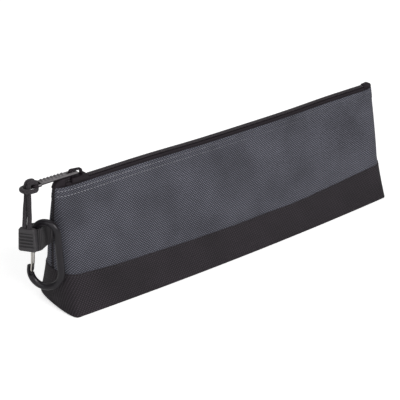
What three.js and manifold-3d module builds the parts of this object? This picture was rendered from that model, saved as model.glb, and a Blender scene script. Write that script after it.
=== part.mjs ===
// A stand-up zippered tool bag with a dark boot, a webbing loop and a small carabiner.
// Units are millimetres. +X runs along the bag to the right, the front faces -Y, +Z is up,
// and the origin is on the floor under the middle of the bag.

import * as THREE from 'three';
import { mergeVertices } from 'three/addons/utils/BufferGeometryUtils.js';
import Module from 'manifold-3d';

const wasm = await Module();
wasm.setup();

// Bag body
const bagHeight = 109.5;
const mouthLength = 361;
const baseLength = 371.5;
const sideBulge = 0.6;
const baseDepth = 61;
const faceBow = 4.5;
const mouthDepth = 9.6;
const mouthLean = 2.6;
const zipRise = 4;
const fabricThickness = 1.2;
const bootProud = 0.5;
const baseFoldRadius = 1.5;
const endLengthBase = 6;
const endLengthMiddle = 17.5;
const endLengthTop = 8.5;
const endShoulderHeight = 40;
const endRoundness = 2.3;
const seamHeightMiddle = 29.2;
const seamHeightEnds = 35;
const sideSeamGap = 4;
const bindingDepth = 10;
const bindingRecess = 0.6;
const clearance = 0.3;
const panelTop = bagHeight - zipRise;

// Zip
const tapeThickness = 0.6;
const tapeBelowPanelTop = 9;
const toothPitch = 2.5;
const toothLength = 1.3;
const chainWidth = 4.8;
const chainSpine = 1;
const chainHeight = 1.8;
const chainShoulder = 0.8;
const chainSlit = 1.2;
const bridgeLength = 3;
const chainEndInset = 11;
const endTabWidth = 5.6;
const endTabRadius = 3.4;
const leftTabLength = 11.2;
const leftTabRise = 2.6;
const leftTabLap = 4;
const rightTabLength = 10.3;
const rightTabRise = 0.5;

// Slider, bail and pull tab
const sliderLength = 16;
const sliderWidth = 8.8;
const sliderTailWidth = 8.2;
const sliderWall = 1.2;
const sliderEndInset = 23.6;
const sliderChainOverlap = 7;
const dividerLength = 4;
const wingWidth = 3.2;
const bailLength = 12.6;
const bailHeight = 6;
const bailWidth = 1.8;
const bailWall = 1.4;
const bailRadius = 2.6;
const bailOffset = -2;
const tabLength = 41.8;
const tabWidth = 6.2;
const tabThickness = 2.4;
const tabRest = 1.6;
const tabCrossbar = 1.5;
const tabSlotLength = 8.2;
const tabHeadWidth = 9.8;
const tabEyeLength = 5.2;
const tabEyeWidth = 8;
const tabBar = 2;
const ridgePitch = 3.2;
const ridgeHeight = 0.8;

// Cord and grip
const cordDiameter = 3.6;
const cordDrop = 29.6;
const gripOut = 12;
const gripForward = 9.3;
const gripTopWidth = 13;
const gripBottomWidth = 15.4;
const gripHeight = 19.5;
const gripThickness = 5.4;
const gripRibs = 5;
const gripRibDepth = 0.7;
const gripTurn = -55;
const strandSpread = 2;

// Webbing loop
const webbingWidth = 19;
const webbingThickness = 1.5;
const webbingBottom = 58;
const webbingEyeStandOff = 14;
const webbingEyeRadius = 5.5;
const webbingTail = 4.5;

// Carabiner, whose rod follows two arcs joined by straight sides
const rodDiameter = 5.8;
const carabinerHeight = 63.8;
const carabinerAboveWebbing = 7.7;
const rodInEye = 0.85;
const topArcRadius = 9.8;
const bottomArcRadius = 13.4;
const carabinerTurn = -55;
const carabinerTilt = 3.2;
const gatePivotInset = 2.5;
const gateHookRise = -0.6;
const noseOverlap = 4.6;
const stubOverlap = 3;
const tongueThickness = 2.2;
const tongueReach = 2.2;
const footInset = 1.8;
const wireDiameter = 1.5;
const wireSpacing = 4.4;

// Material colours as they look in soft light
const greyFabric = { color: 0x4b4e56, roughness: 0.85, metalness: 0 };
const blackFabric = { color: 0x1b1b1d, roughness: 0.85, metalness: 0 };
const blackTape = { color: 0x242326, roughness: 0.75, metalness: 0 };
const blackCoil = { color: 0x3a393c, roughness: 0.5, metalness: 0 };
const blackWebbing = { color: 0x222225, roughness: 0.8, metalness: 0 };
const blackMetal = { color: 0x1a1a1c, roughness: 0.4, metalness: 0.7 };
const greyMetal = { color: 0x8b8d91, roughness: 0.35, metalness: 1 };
const silverMetal = { color: 0xb9babd, roughness: 0.25, metalness: 1 };
const blackCord = { color: 0x19191b, roughness: 0.8, metalness: 0 };
const blackPlastic = { color: 0x2b2b2e, roughness: 0.5, metalness: 0 };

const ringSteps = 14;
const bowSteps = 8;

// Reach of the cutting blocks, well past the bag on every side
const wide = 1.1 * Math.max(baseLength, mouthLength);

const group = new THREE.Group();

// Joining and cutting

function toSolid(geometry) {
  const bare = geometry.clone();
  for (const name of Object.keys(bare.attributes)) {
    if (name !== 'position') bare.deleteAttribute(name);
  }
  const merged = mergeVertices(bare.index ? bare.toNonIndexed() : bare, 1e-4);
  const vertProperties = new Float32Array(merged.attributes.position.array);
  const triVerts = new Uint32Array(merged.index.array);
  return new wasm.Manifold(new wasm.Mesh({ numProp: 3, vertProperties, triVerts }));
}

function toGeometry(solid) {
  const mesh = solid.getMesh();
  const geometry = new THREE.BufferGeometry();
  const positions = new Float32Array(mesh.vertProperties);
  geometry.setAttribute('position', new THREE.BufferAttribute(positions, 3));
  geometry.setIndex(Array.from(mesh.triVerts));
  geometry.computeVertexNormals();
  return geometry;
}

function addPiece(name, geometry, finish, parent = group) {
  const mesh = new THREE.Mesh(geometry, new THREE.MeshStandardMaterial(finish));
  mesh.name = name;
  parent.add(mesh);
  return mesh;
}

// Basic solids

function box(x0, x1, y0, y1, z0, z1) {
  const geometry = new THREE.BoxGeometry(x1 - x0, y1 - y0, z1 - z0);
  geometry.translate((x0 + x1) / 2, (y0 + y1) / 2, (z0 + z1) / 2);
  return toSolid(geometry);
}

// An outline of [x, z] points, extruded along Y from y0 to y1
function prismAlongY(points, y0, y1) {
  const shape = new THREE.Shape(points.map(([x, z]) => new THREE.Vector2(x, z)));
  const geometry = new THREE.ExtrudeGeometry(shape, { depth: y1 - y0, bevelEnabled: false });
  geometry.rotateX(Math.PI / 2);
  geometry.translate(0, y1, 0);
  return toSolid(geometry);
}

// An outline of [y, z] points, extruded along X from x0 to x1
function prismAlongX(points, x0, x1) {
  const shape = new THREE.Shape(points.map(([y, z]) => new THREE.Vector2(y, z)));
  const geometry = new THREE.ExtrudeGeometry(shape, { depth: x1 - x0, bevelEnabled: false });
  geometry.rotateX(Math.PI / 2);
  geometry.rotateZ(Math.PI / 2);
  geometry.translate(x0, 0, 0);
  return toSolid(geometry);
}

// An outline of [x, y] points, extruded along Z from z0 to z1
function prismAlongZ(points, z0, z1) {
  const shape = new THREE.Shape(points.map(([x, y]) => new THREE.Vector2(x, y)));
  const geometry = new THREE.ExtrudeGeometry(shape, { depth: z1 - z0, bevelEnabled: false });
  geometry.translate(0, 0, z0);
  return toSolid(geometry);
}

function circlePoints(cx, cy, radius, steps, from = 0, to = 2 * Math.PI) {
  const points = [];
  const closed = Math.abs(to - from - 2 * Math.PI) < 1e-9;
  const count = closed ? steps : steps + 1;
  for (let i = 0; i < count; i += 1) {
    const angle = from + ((to - from) * i) / steps;
    points.push([cx + radius * Math.cos(angle), cy + radius * Math.sin(angle)]);
  }
  return points;
}

// A round bar of the given radius along a smooth path
function tube(points, radius, sides, steps) {
  const path = new THREE.CatmullRomCurve3(points, false, 'centripetal');
  const section = new THREE.Shape(
    circlePoints(0, 0, radius, sides).map(([x, y]) => new THREE.Vector2(x, y)),
  );
  return new THREE.ExtrudeGeometry(section, { steps, extrudePath: path, bevelEnabled: false });
}

// A closed solid through stacked outlines of equal length
function loft(rings) {
  const count = rings[0].length;
  const positions = [];
  for (const ring of rings) {
    for (const point of ring) positions.push(...point);
  }
  const index = [];
  for (let level = 0; level + 1 < rings.length; level += 1) {
    for (let i = 0; i < count; i += 1) {
      const a = level * count + i;
      const b = level * count + ((i + 1) % count);
      index.push(a, b, b + count, a, b + count, a + count);
    }
  }
  const flat = rings[0].map(([x, y]) => new THREE.Vector2(x, y));
  for (const [a, b, c] of THREE.ShapeUtils.triangulateShape(flat, [])) index.push(a, c, b);
  const last = (rings.length - 1) * count;
  const top = rings[rings.length - 1].map(([x, y]) => new THREE.Vector2(x, y));
  for (const [a, b, c] of THREE.ShapeUtils.triangulateShape(top, [])) {
    index.push(last + a, last + b, last + c);
  }
  const geometry = new THREE.BufferGeometry();
  geometry.setAttribute('position', new THREE.BufferAttribute(new Float32Array(positions), 3));
  geometry.setIndex(index);
  return toSolid(geometry);
}

// The bag's outline at each height: the side seam bows out, and the faces lean in to the mouth

function halfLengthAt(z) {
  const rise = z / panelTop;
  const straight = THREE.MathUtils.lerp(baseLength / 2, mouthLength / 2, rise * rise);
  return straight + sideBulge * Math.sin(Math.PI * rise);
}

function halfDepthAt(z) {
  return THREE.MathUtils.lerp(baseDepth / 2, mouthDepth / 2, z / panelTop);
}

// The end is blunt at the floor, longest at the shoulder and short again at the mouth
function endLengthAt(z) {
  if (z < endShoulderHeight) {
    return THREE.MathUtils.lerp(endLengthBase, endLengthMiddle, z / endShoulderHeight);
  }
  const rise = (z - endShoulderHeight) / (panelTop - endShoulderHeight);
  return THREE.MathUtils.lerp(endLengthMiddle, endLengthTop, rise);
}

// The faces swell outwards along the floor and are straight at the mouth
function bowAt(z) {
  return faceBow * (1 - z / panelTop);
}

function outlineAt(z, inset) {
  const halfLength = halfLengthAt(z) - inset;
  const halfDepth = halfDepthAt(z) - inset;
  const endLength = endLengthAt(z) - inset * 0.5;
  const points = [];
  for (const side of [1, -1]) {
    for (let i = 0; i <= ringSteps; i += 1) {
      const angle = -Math.PI / 2 + (Math.PI * i) / ringSteps;
      const reach = Math.pow(Math.abs(Math.cos(angle)), 2 / endRoundness);
      const across = Math.sign(Math.sin(angle)) * Math.pow(Math.abs(Math.sin(angle)), 2 / endRoundness);
      points.push([side * (halfLength - endLength + endLength * reach), side * halfDepth * across, z]);
    }
    for (let i = 1; i < bowSteps; i += 1) {
      const share = 1 - (2 * i) / bowSteps;
      const out = halfDepth + bowAt(z) * (1 - share * share);
      points.push([side * (halfLength - endLength) * share, side * out, z]);
    }
  }
  return points;
}

function bagLoft(inset, bottom, top) {
  const rings = [];
  const foldLevels = [0, 0.15, 0.5, 1];
  for (const level of foldLevels) {
    const drop = baseFoldRadius * (1 - Math.sqrt(1 - (1 - level) ** 2));
    rings.push(outlineAt(bottom + baseFoldRadius * level, inset + drop).map(
      ([x, y]) => [x, y, bottom + baseFoldRadius * level],
    ));
  }
  const levels = 9;
  for (let i = 1; i <= levels; i += 1) {
    const z = bottom + baseFoldRadius + ((top - bottom - baseFoldRadius) * i) / levels;
    rings.push(outlineAt(z, inset));
  }
  return loft(rings);
}

// The mouth rises a little from the left end to the right one, and the walls follow it
function leanAt(x) {
  return (mouthLean * x) / mouthLength;
}

function leaned(solid) {
  return solid.warp((point) => {
    point[2] += (leanAt(point[0]) * point[2]) / panelTop;
  });
}

// The line where the boot meets the upper: lowest in the middle and rising to the ends
function seamHeightAt(x) {
  const share = x / (baseLength / 2);
  return seamHeightMiddle + (seamHeightEnds - seamHeightMiddle) * share * share;
}

function belowSeam(offset) {
  const points = [[-wide / 2, -wide / 4], [wide / 2, -wide / 4]];
  const steps = 16;
  for (let i = 0; i <= steps; i += 1) {
    const x = wide / 2 - (wide * i) / steps;
    points.push([x, seamHeightAt(x) + offset]);
  }
  return prismAlongY(points, -wide / 4, wide / 4);
}

const outerBoot = bagLoft(0, 0, panelTop);
const innerBoot = bagLoft(fabricThickness, fabricThickness, panelTop + clearance);
const outerUpper = bagLoft(bootProud, 0, panelTop);
const innerUpper = bagLoft(bootProud + fabricThickness, -clearance, panelTop + clearance);

// Boot: front, bottom and rear in one dark piece
const boot = outerBoot.subtract(innerBoot).intersect(belowSeam(-clearance / 2));
addPiece('boot', toGeometry(boot), blackFabric);

// Front and rear panels of the upper, open at the mouth and parted at the side seams
const upper = leaned(outerUpper.subtract(innerUpper)).subtract(belowSeam(clearance / 2));
function panelSide(side) {
  const y0 = side < 0 ? -wide / 4 : sideSeamGap / 2;
  const y1 = side < 0 ? -sideSeamGap / 2 : wide / 4;
  return upper.intersect(box(-wide / 2, wide / 2, y0, y1, 0, 2 * bagHeight));
}
addPiece('front_panel', toGeometry(panelSide(-1)), greyFabric);
addPiece('rear_panel', toGeometry(panelSide(1)), greyFabric);

// Side bindings: the folded allowance of each side seam, standing between the two panels
const bindingBottom = seamHeightEnds + 1;
const bindingHalfWidth = sideSeamGap / 2 - clearance;
const webbingTop = webbingBottom + webbingWidth;
const webbingRootX = -halfLengthAt(webbingBottom + webbingWidth / 2);
const webbingTailEnd = webbingRootX + webbingTail;

// The eye stands clear of the bag's widest part, so that the carabiner hangs free of the boot
const widestHalfLength = Math.max(
  ...[0, 0.1, 0.2, 0.3, 0.4, 0.5, 0.6, 0.7].map((share) => halfLengthAt(share * panelTop)),
);
const webbingEyeX = -widestHalfLength - webbingEyeStandOff;

function bindingOutline(side) {
  const outer = [];
  const inner = [];
  const steps = 8;
  for (let i = 0; i <= steps; i += 1) {
    const z = THREE.MathUtils.lerp(bindingBottom, panelTop, i / steps);
    outer.push([side * (halfLengthAt(z) - bindingRecess), z]);
    inner.unshift([side * (halfLengthAt(z) - bindingDepth), z]);
  }
  return side > 0 ? [...outer, ...inner] : [...outer, ...inner].reverse();
}

const notch = box(
  -wide / 2, webbingTailEnd + clearance, -wide / 4, wide / 4,
  webbingBottom - clearance, webbingBottom + webbingWidth + clearance,
);
function binding(side) {
  return leaned(prismAlongY(bindingOutline(side), -bindingHalfWidth, bindingHalfWidth));
}
addPiece('left_side_binding', toGeometry(binding(-1).subtract(notch)), blackFabric);
addPiece('right_side_binding', toGeometry(binding(1)), blackFabric);

// Zip: a tape sewn inside each panel carries one half of the coil

const panelInnerInset = bootProud + fabricThickness;
const chainBottom = bagHeight - chainHeight;
const tapeTop = chainBottom - clearance;
const sliderTravel = mouthLength - 2 * sliderEndInset;
const sliderX = -sliderTravel / 2;
const chainSplit = sliderTravel / 2 - sliderLength / 2 - sliderChainOverlap;
const movingHalf = chainSplit - clearance;
const fixedHalf = chainSplit + clearance;
const fixedChainEnd = mouthLength / 2 - chainEndInset;

function tapeOutline() {
  const low = panelTop - tapeBelowPanelTop;
  const lowY = halfDepthAt(low) - panelInnerInset - clearance;
  const topY = halfDepthAt(panelTop) - panelInnerInset - clearance;
  const bendY = topY - 0.6;
  const edgeY = chainSlit / 2 + 0.15;
  return [
    [-lowY, low],
    [-lowY + tapeThickness, low],
    [-topY + tapeThickness, panelTop],
    [-bendY + tapeThickness, tapeTop - tapeThickness],
    [-edgeY, tapeTop - tapeThickness],
    [-edgeY, tapeTop],
    [-bendY + 0.1, tapeTop],
    [-topY, panelTop],
  ];
}

function mirrored(points) {
  return points.map(([a, b]) => [-a, b]).reverse();
}

function tapeRun(side, x0, x1) {
  return leaned(prismAlongX(side < 0 ? tapeOutline() : mirrored(tapeOutline()), x0, x1));
}

// The coil's roof: highest along the middle and lower at its outer edge
function chainSection(side) {
  const outer = chainWidth / 2;
  const points = [
    [-outer, chainBottom],
    [-chainSlit / 2, chainBottom],
    [-chainSlit / 2, bagHeight],
    [-outer, bagHeight - chainShoulder],
  ];
  return side < 0 ? points : mirrored(points);
}

function combOutline(side, x0, x1) {
  const outer = chainWidth / 2;
  const root = outer - chainSpine;
  const tip = chainSlit / 2;
  const teeth = Math.floor((x1 - x0) / toothPitch);
  const start = (x0 + x1) / 2 - (teeth * toothPitch) / 2;
  const points = [[x0, -outer], [x1, -outer], [x1, -root]];
  for (let i = teeth - 1; i >= 0; i -= 1) {
    const left = start + i * toothPitch + (toothPitch - toothLength) / 2;
    points.push([left + toothLength, -root], [left + toothLength, -tip], [left, -tip], [left, -root]);
  }
  points.push([x0, -root]);
  return side < 0 ? points : points.map(([x, y]) => [x, -y]).reverse();
}

function coilRun(side, x0, x1) {
  const comb = prismAlongZ(combOutline(side, x0, x1), chainBottom - 1, bagHeight + 1);
  return leaned(comb.intersect(prismAlongX(chainSection(side), x0 - 1, x1 + 1)));
}

addPiece('front_tape', toGeometry(tapeRun(-1, -movingHalf, movingHalf)), blackTape);
addPiece('rear_tape', toGeometry(tapeRun(1, -movingHalf, movingHalf)), blackTape);
addPiece('front_coil', toGeometry(coilRun(-1, -movingHalf, movingHalf)), blackCoil);
addPiece('rear_coil', toGeometry(coilRun(1, -movingHalf, movingHalf)), blackCoil);

// At each end the two tapes are sewn together, and the coil runs on a little past its stop
function fixedTape(side) {
  const [x0, x1] = side < 0 ? [-fixedChainEnd, -fixedHalf] : [fixedHalf, fixedChainEnd];
  const bridge0 = side < 0 ? x0 : x1 - bridgeLength;
  const bridge = box(
    bridge0, bridge0 + bridgeLength, -1.5, 1.5, tapeTop - tapeThickness, tapeTop,
  );
  return tapeRun(-1, x0, x1).add(tapeRun(1, x0, x1)).add(leaned(bridge));
}

function fixedCoil(side) {
  const [x0, x1] = side < 0 ? [-fixedChainEnd, -fixedHalf] : [fixedHalf, fixedChainEnd];
  const bridge0 = side < 0 ? x0 : x1 - bridgeLength;
  const bridge = box(bridge0, bridge0 + bridgeLength, -1.5, 1.5, chainBottom, bagHeight - 0.5);
  return coilRun(-1, x0, x1).add(coilRun(1, x0, x1)).add(leaned(bridge));
}

for (const [name, side] of [['left', -1], ['right', 1]]) {
  addPiece(`${name}_tape_end`, toGeometry(fixedTape(side)), blackTape);
  addPiece(`${name}_coil_end`, toGeometry(fixedCoil(side)), blackCoil);
}

// End tabs: folded tape that closes the zip's ends over the side seams. The left one's fold
// laps back over the end of the coil.
const endTabInner = fixedChainEnd + clearance;

function endTab(side, length, rise, innerEdge) {
  const top = bagHeight + rise;
  const outer = endTabInner + length;
  const low = panelTop + clearance;
  const radius = endTabRadius;
  const corner = circlePoints(outer - radius, top - radius, radius, 5, 0, Math.PI / 2);
  const points = [[endTabInner, low], [outer, low], ...corner, ...innerEdge];
  const outline = side > 0 ? points : points.map(([x, z]) => [-x, z]).reverse();
  return leaned(prismAlongY(outline, -endTabWidth / 2, endTabWidth / 2));
}

const lapEnd = endTabInner - leftTabLap;
const lapLow = bagHeight + clearance;
const lapEdge = [
  [lapEnd, bagHeight + leftTabRise], [lapEnd, lapLow], [endTabInner, lapLow],
];
const plainEdge = [[endTabInner, bagHeight]];
addPiece('left_end_tab', toGeometry(endTab(-1, leftTabLength, leftTabRise, lapEdge)), blackTape);
addPiece('right_end_tab', toGeometry(endTab(1, rightTabLength, rightTabRise, plainEdge)), blackTape);

// Slider: a top plate with side flanges over the coil, joined to a lower wing by a divider

const slider = new THREE.Group();
slider.position.set(sliderX, 0, leanAt(sliderX));
group.add(slider);
const sliderPlateBottom = bagHeight + clearance;
const sliderPlateTop = sliderPlateBottom + sliderWall;
const flangeInner = chainWidth / 2 + clearance + 0.1;
const flangeBottom = tapeTop - 0.4;
const wingTop = tapeTop - tapeThickness - clearance;

function sliderOutline() {
  const half = sliderLength / 2;
  const tail = sliderTailWidth / 2;
  const shoulder = sliderWidth / 2;
  const bevel = sliderWidth / 10;
  return [
    [-half, -shoulder + bevel], [-half + bevel, -shoulder], [0, -shoulder], [half, -tail],
    [half, tail], [0, shoulder], [-half + bevel, shoulder], [-half, shoulder - bevel],
  ];
}

const sliderShell = prismAlongZ(sliderOutline(), flangeBottom, sliderPlateTop)
  .subtract(box(-wide, wide, -flangeInner, flangeInner, 0, sliderPlateBottom));
const dividerHalf = chainSlit / 2 - clearance;
const divider = box(
  -sliderLength / 2 + 1, -sliderLength / 2 + 1 + dividerLength, -dividerHalf, dividerHalf,
  wingTop - 0.1, sliderPlateBottom + 0.1,
);
const wing = box(
  -sliderLength / 2 + 1, sliderLength / 2 - 2, -wingWidth / 2, wingWidth / 2,
  wingTop - sliderWall, wingTop,
);
addPiece('slider_body', toGeometry(sliderShell.add(divider).add(wing)), blackMetal, slider);

// Bail: the arch over the slider that the pull tab hangs on

function bailArch() {
  const half = bailLength / 2;
  const low = sliderPlateTop + 0.02;
  const high = sliderPlateTop + bailHeight;
  const outer = [[-half, low], [half, low]];
  const radius = bailRadius;
  outer.push(...circlePoints(half - radius, high - radius, radius, 5, 0, Math.PI / 2));
  outer.push(...circlePoints(-half + radius, high - radius, radius, 5, Math.PI / 2, Math.PI));
  const innerHalf = half - bailWall;
  const innerHigh = high - bailWall;
  const innerRadius = radius - bailWall / 2;
  const inner = [[-innerHalf, low - 1], [innerHalf, low - 1]];
  inner.push(...circlePoints(
    innerHalf - innerRadius, innerHigh - innerRadius, innerRadius, 5, 0, Math.PI / 2,
  ));
  inner.push(...circlePoints(
    -innerHalf + innerRadius, innerHigh - innerRadius, innerRadius, 5, Math.PI / 2, Math.PI,
  ));
  const arch = prismAlongY(outer, -bailWidth / 2, bailWidth / 2);
  return arch.subtract(prismAlongY(inner, -bailWidth, bailWidth));
}
const bail = addPiece('slider_bail', toGeometry(bailArch()), blackMetal, slider);
bail.position.set(bailOffset, 0, 0);

// Pull tab: a ridged bar with a slot round the bail and an eye for the cord. Its own origin
// is on its hinge line under the bail, and it points along -X.
const tabZ = sliderPlateTop + tabRest + tabThickness / 2;
const tab = new THREE.Group();
tab.position.set(bailOffset, 0, tabZ);
slider.add(tab);
const slotStart = tabCrossbar / 2;
const slotEnd = slotStart + tabSlotLength;
const eyeBarX = tabLength - tabBar / 2;

function pullTab() {
  const half = tabWidth / 2;
  const head = tabHeadWidth / 2;
  const headStart = tabLength - tabBar - tabEyeLength - 2.4;
  const outline = [
    [-tabLength, -head + 1.2], [-tabLength + 1.2, -head], [-headStart - 1.5, -head],
    [-headStart, -half], [slotStart - 0.5, -half], [slotStart, -half + 0.5],
    [slotStart, half - 0.5], [slotStart - 0.5, half], [-headStart, half],
    [-headStart - 1.5, head], [-tabLength + 1.2, head], [-tabLength, head - 1.2],
  ];
  let bar = prismAlongZ(outline, -tabThickness / 2, tabThickness / 2);
  const slotHalf = bailWidth / 2 + 0.5;
  bar = bar.subtract(box(-slotEnd, -slotStart, -slotHalf, slotHalf, -wide, wide));
  const eyeEnd = tabLength - tabBar;
  bar = bar.subtract(
    box(-eyeEnd, -eyeEnd + tabEyeLength, -tabEyeWidth / 2, tabEyeWidth / 2, -wide, wide),
  );
  const ridgedFrom = slotEnd + 1.2;
  const ridges = Math.floor((headStart - ridgedFrom) / ridgePitch);
  for (let i = 0; i < ridges; i += 1) {
    const x = -ridgedFrom - ridgePitch * (i + 0.5);
    const foot = ridgePitch * 0.28;
    const crest = foot * 0.5;
    const low = tabThickness / 2 - 0.1;
    const high = tabThickness / 2 + ridgeHeight;
    const section = [[x - foot, low], [x + foot, low], [x + crest, high], [x - crest, high]];
    bar = bar.add(prismAlongY(section, -half + 0.4, half - 0.4));
  }
  return bar;
}
addPiece('pull_tab', toGeometry(pullTab()), greyMetal, tab);

// Cord: a loop hitched round the tab's end bar, with both strands running down to the grip.
// Its own origin is on the end bar. o counts outwards, away from the bag.
const cord = new THREE.Group();
cord.position.set(-eyeBarX, 0, 0);
tab.add(cord);
const gripFacing = THREE.MathUtils.degToRad(gripTurn);

function strand(side) {
  const endOut = gripOut + side * strandSpread * Math.cos(gripFacing);
  const endY = -gripForward - side * strandSpread * Math.sin(gripFacing);
  return [
    [endOut, endY, -cordDrop],
    [endOut, endY, -cordDrop + 2],
    [gripOut - 1.7 + side * 1.1, -gripForward + 1.5 + side * 1.7, -cordDrop + 7.5],
    [7.6 + side * 0.7, side * 1.85 - 4.1, -16.1],
    [5.5 + side * 0.3, side * 1.9 - 1.8, -10.6],
    [4.1, side * 2.0, -5],
    [4.0, side * 2.0, 0],
    [2.8, side * 2.0, 2.6],
    [0.3, side * 2.0, 3.5],
    [-2.5, side * 2.0, 2.7],
    [-3.5, side * 2.0, 0],
    [-3.3, side * 2.6, -2.9],
    [-1.6, side * 4.2, -4.4],
    [0.8, side * 5.4, -4.0],
    [4.4, side * 5.3, -2.9],
    [7.4, side * 3.4, -1.7],
  ];
}

function cordPath() {
  const points = [...strand(-1), [8.6, 0, -1.5], ...strand(1).reverse()];
  return points.map(([o, y, z]) => new THREE.Vector3(-o, y, z));
}
addPiece('pull_cord', tube(cordPath(), cordDiameter / 2, 8, 72), blackCord, cord);

// Grip: a moulded plate with ribs across both faces, wider at the bottom
function gripBody() {
  const top = gripTopWidth / 2;
  const bottom = gripBottomWidth / 2;
  const half = gripHeight / 2;
  const outline = [
    [-bottom + 1.5, -half], [bottom - 1.5, -half], [bottom, -half + 1.5],
    [top, half - 2], [top - 2, half], [-top + 2, half], [-top, half - 2], [-bottom, -half + 1.5],
  ];
  let body = prismAlongY(outline, -gripThickness / 2, gripThickness / 2);
  const pitch = gripHeight / (gripRibs + 1);
  for (let i = 0; i < gripRibs; i += 1) {
    const z = -half + pitch * (i + 1);
    for (const side of [-1, 1]) {
      const face = (side * gripThickness) / 2;
      const y0 = Math.min(face, face - side * gripRibDepth) - (side > 0 ? 0 : 1);
      const y1 = Math.max(face, face - side * gripRibDepth) + (side > 0 ? 1 : 0);
      body = body.subtract(box(-wide, wide, y0, y1, z - pitch * 0.22, z + pitch * 0.22));
    }
  }
  return body;
}
const grip = addPiece('cord_grip', toGeometry(gripBody()), blackPlastic, cord);
grip.position.set(-gripOut, -gripForward, -cordDrop - clearance - gripHeight / 2);
grip.rotation.set(0, 0, gripFacing);

// Webbing loop: doubled through the side seam and open as an eye round the carabiner

function webbingOutline(offset) {
  const radius = webbingEyeRadius + offset;
  const half = offset;
  const neck = webbingEyeX + webbingEyeRadius + 5;
  const start = 0.95;
  return [
    ...circlePoints(webbingEyeX, 0, radius, 20, start, 2 * Math.PI - start),
    [neck, -half],
    [webbingTailEnd, -half],
    [webbingTailEnd, half],
    [neck, half],
  ];
}
const webbingOuter = prismAlongZ(webbingOutline(webbingThickness).reverse(), webbingBottom, webbingTop);
const eyeOutline = [
  ...circlePoints(webbingEyeX, 0, webbingEyeRadius, 20, 0.7, 2 * Math.PI - 0.7),
  [webbingEyeX + webbingEyeRadius + 3.4, 0],
].reverse();
const webbingEye = prismAlongZ(eyeOutline, webbingBottom - 1, webbingTop + 1);
addPiece('webbing_loop', toGeometry(webbingOuter.subtract(webbingEye)), blackWebbing);

// Carabiner: a bent rod. Its own origin is on the axis of the webbing eye, u runs from the
// gate side to the spine, and the whole is turned about that upright axis.
const carabiner = new THREE.Group();
carabiner.position.set(webbingEyeX, 0, 0);
carabiner.rotation.set(0, 0, THREE.MathUtils.degToRad(carabinerTurn));
group.add(carabiner);

const rodRadius = rodDiameter / 2;
const carabinerTop = webbingTop + carabinerAboveWebbing;
const carabinerBottom = carabinerTop - carabinerHeight;
const topCentreZ = carabinerTop - rodRadius - topArcRadius;
const bottomCentreZ = carabinerBottom + rodRadius + bottomArcRadius;
const gatePivotZ = webbingBottom + gatePivotInset;
const gateBottomZ = bottomCentreZ + gateHookRise;
const noseTopZ = gateBottomZ + noseOverlap;
const flare = Math.asin((bottomArcRadius - topArcRadius) / (topCentreZ - bottomCentreZ));
// The sloping gate side crosses the eye's axis here, so that it clears the eye at both edges
const crossingZ = webbingBottom + webbingWidth * 0.5;
const tiltSlope = Math.tan(THREE.MathUtils.degToRad(carabinerTilt));
const axisToCentre = topArcRadius / Math.cos(flare) + (topCentreZ - crossingZ) * Math.tan(flare);
const centreU = axisToCentre - rodInEye;

// The carabiner hangs a little askew in the eye, with its foot towards the gate side
function tiltedU(u, z) {
  return u + (z - crossingZ) * tiltSlope;
}

function gateSideU(z) {
  const upright = centreU - topArcRadius / Math.cos(flare) - (topCentreZ - z) * Math.tan(flare);
  return tiltedU(upright, z);
}

function carabinerPath() {
  const point = (u, z) => new THREE.Vector3(u, 0, z);
  const arcPoints = (cz, radius, from, to, steps) => circlePoints(centreU, cz, radius, steps, from, to)
    .map(([u, z]) => point(tiltedU(u, z), z));
  return [
    point(gateSideU(noseTopZ), noseTopZ),
    ...arcPoints(bottomCentreZ, bottomArcRadius, Math.PI - flare, 2 * Math.PI + flare, 16),
    ...arcPoints(topCentreZ, topArcRadius, flare, Math.PI - flare, 12),
    point(gateSideU(gatePivotZ - stubOverlap), gatePivotZ - stubOverlap),
  ];
}

// A bar through hand-placed stations, each section square to the bend
function sweptRod(stations, radius, sides) {
  const positions = [];
  const index = [];
  const count = stations.length;
  for (let i = 0; i < count; i += 1) {
    const before = stations[Math.max(i - 1, 0)];
    const after = stations[Math.min(i + 1, count - 1)];
    const along = after.clone().sub(before).normalize();
    const across = new THREE.Vector3(0, 1, 0);
    const third = new THREE.Vector3().crossVectors(along, across).normalize();
    for (let k = 0; k < sides; k += 1) {
      const angle = (2 * Math.PI * k) / sides;
      const place = stations[i].clone()
        .addScaledVector(across, radius * Math.cos(angle))
        .addScaledVector(third, radius * Math.sin(angle));
      positions.push(place.x, place.y, place.z);
    }
  }
  for (let i = 0; i + 1 < count; i += 1) {
    for (let k = 0; k < sides; k += 1) {
      const a = i * sides + k;
      const b = i * sides + ((k + 1) % sides);
      index.push(a, b, b + sides, a, b + sides, a + sides);
    }
  }
  for (let k = 1; k + 1 < sides; k += 1) {
    index.push(0, k + 1, k);
    const last = (count - 1) * sides;
    index.push(last, last + k, last + k + 1);
  }
  const geometry = new THREE.BufferGeometry();
  geometry.setAttribute('position', new THREE.BufferAttribute(new Float32Array(positions), 3));
  geometry.setIndex(index);
  return toSolid(geometry);
}

const wireRadius = wireDiameter / 2;
const legOffset = wireSpacing / 2;
const holeRadius = wireRadius + clearance;

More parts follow.
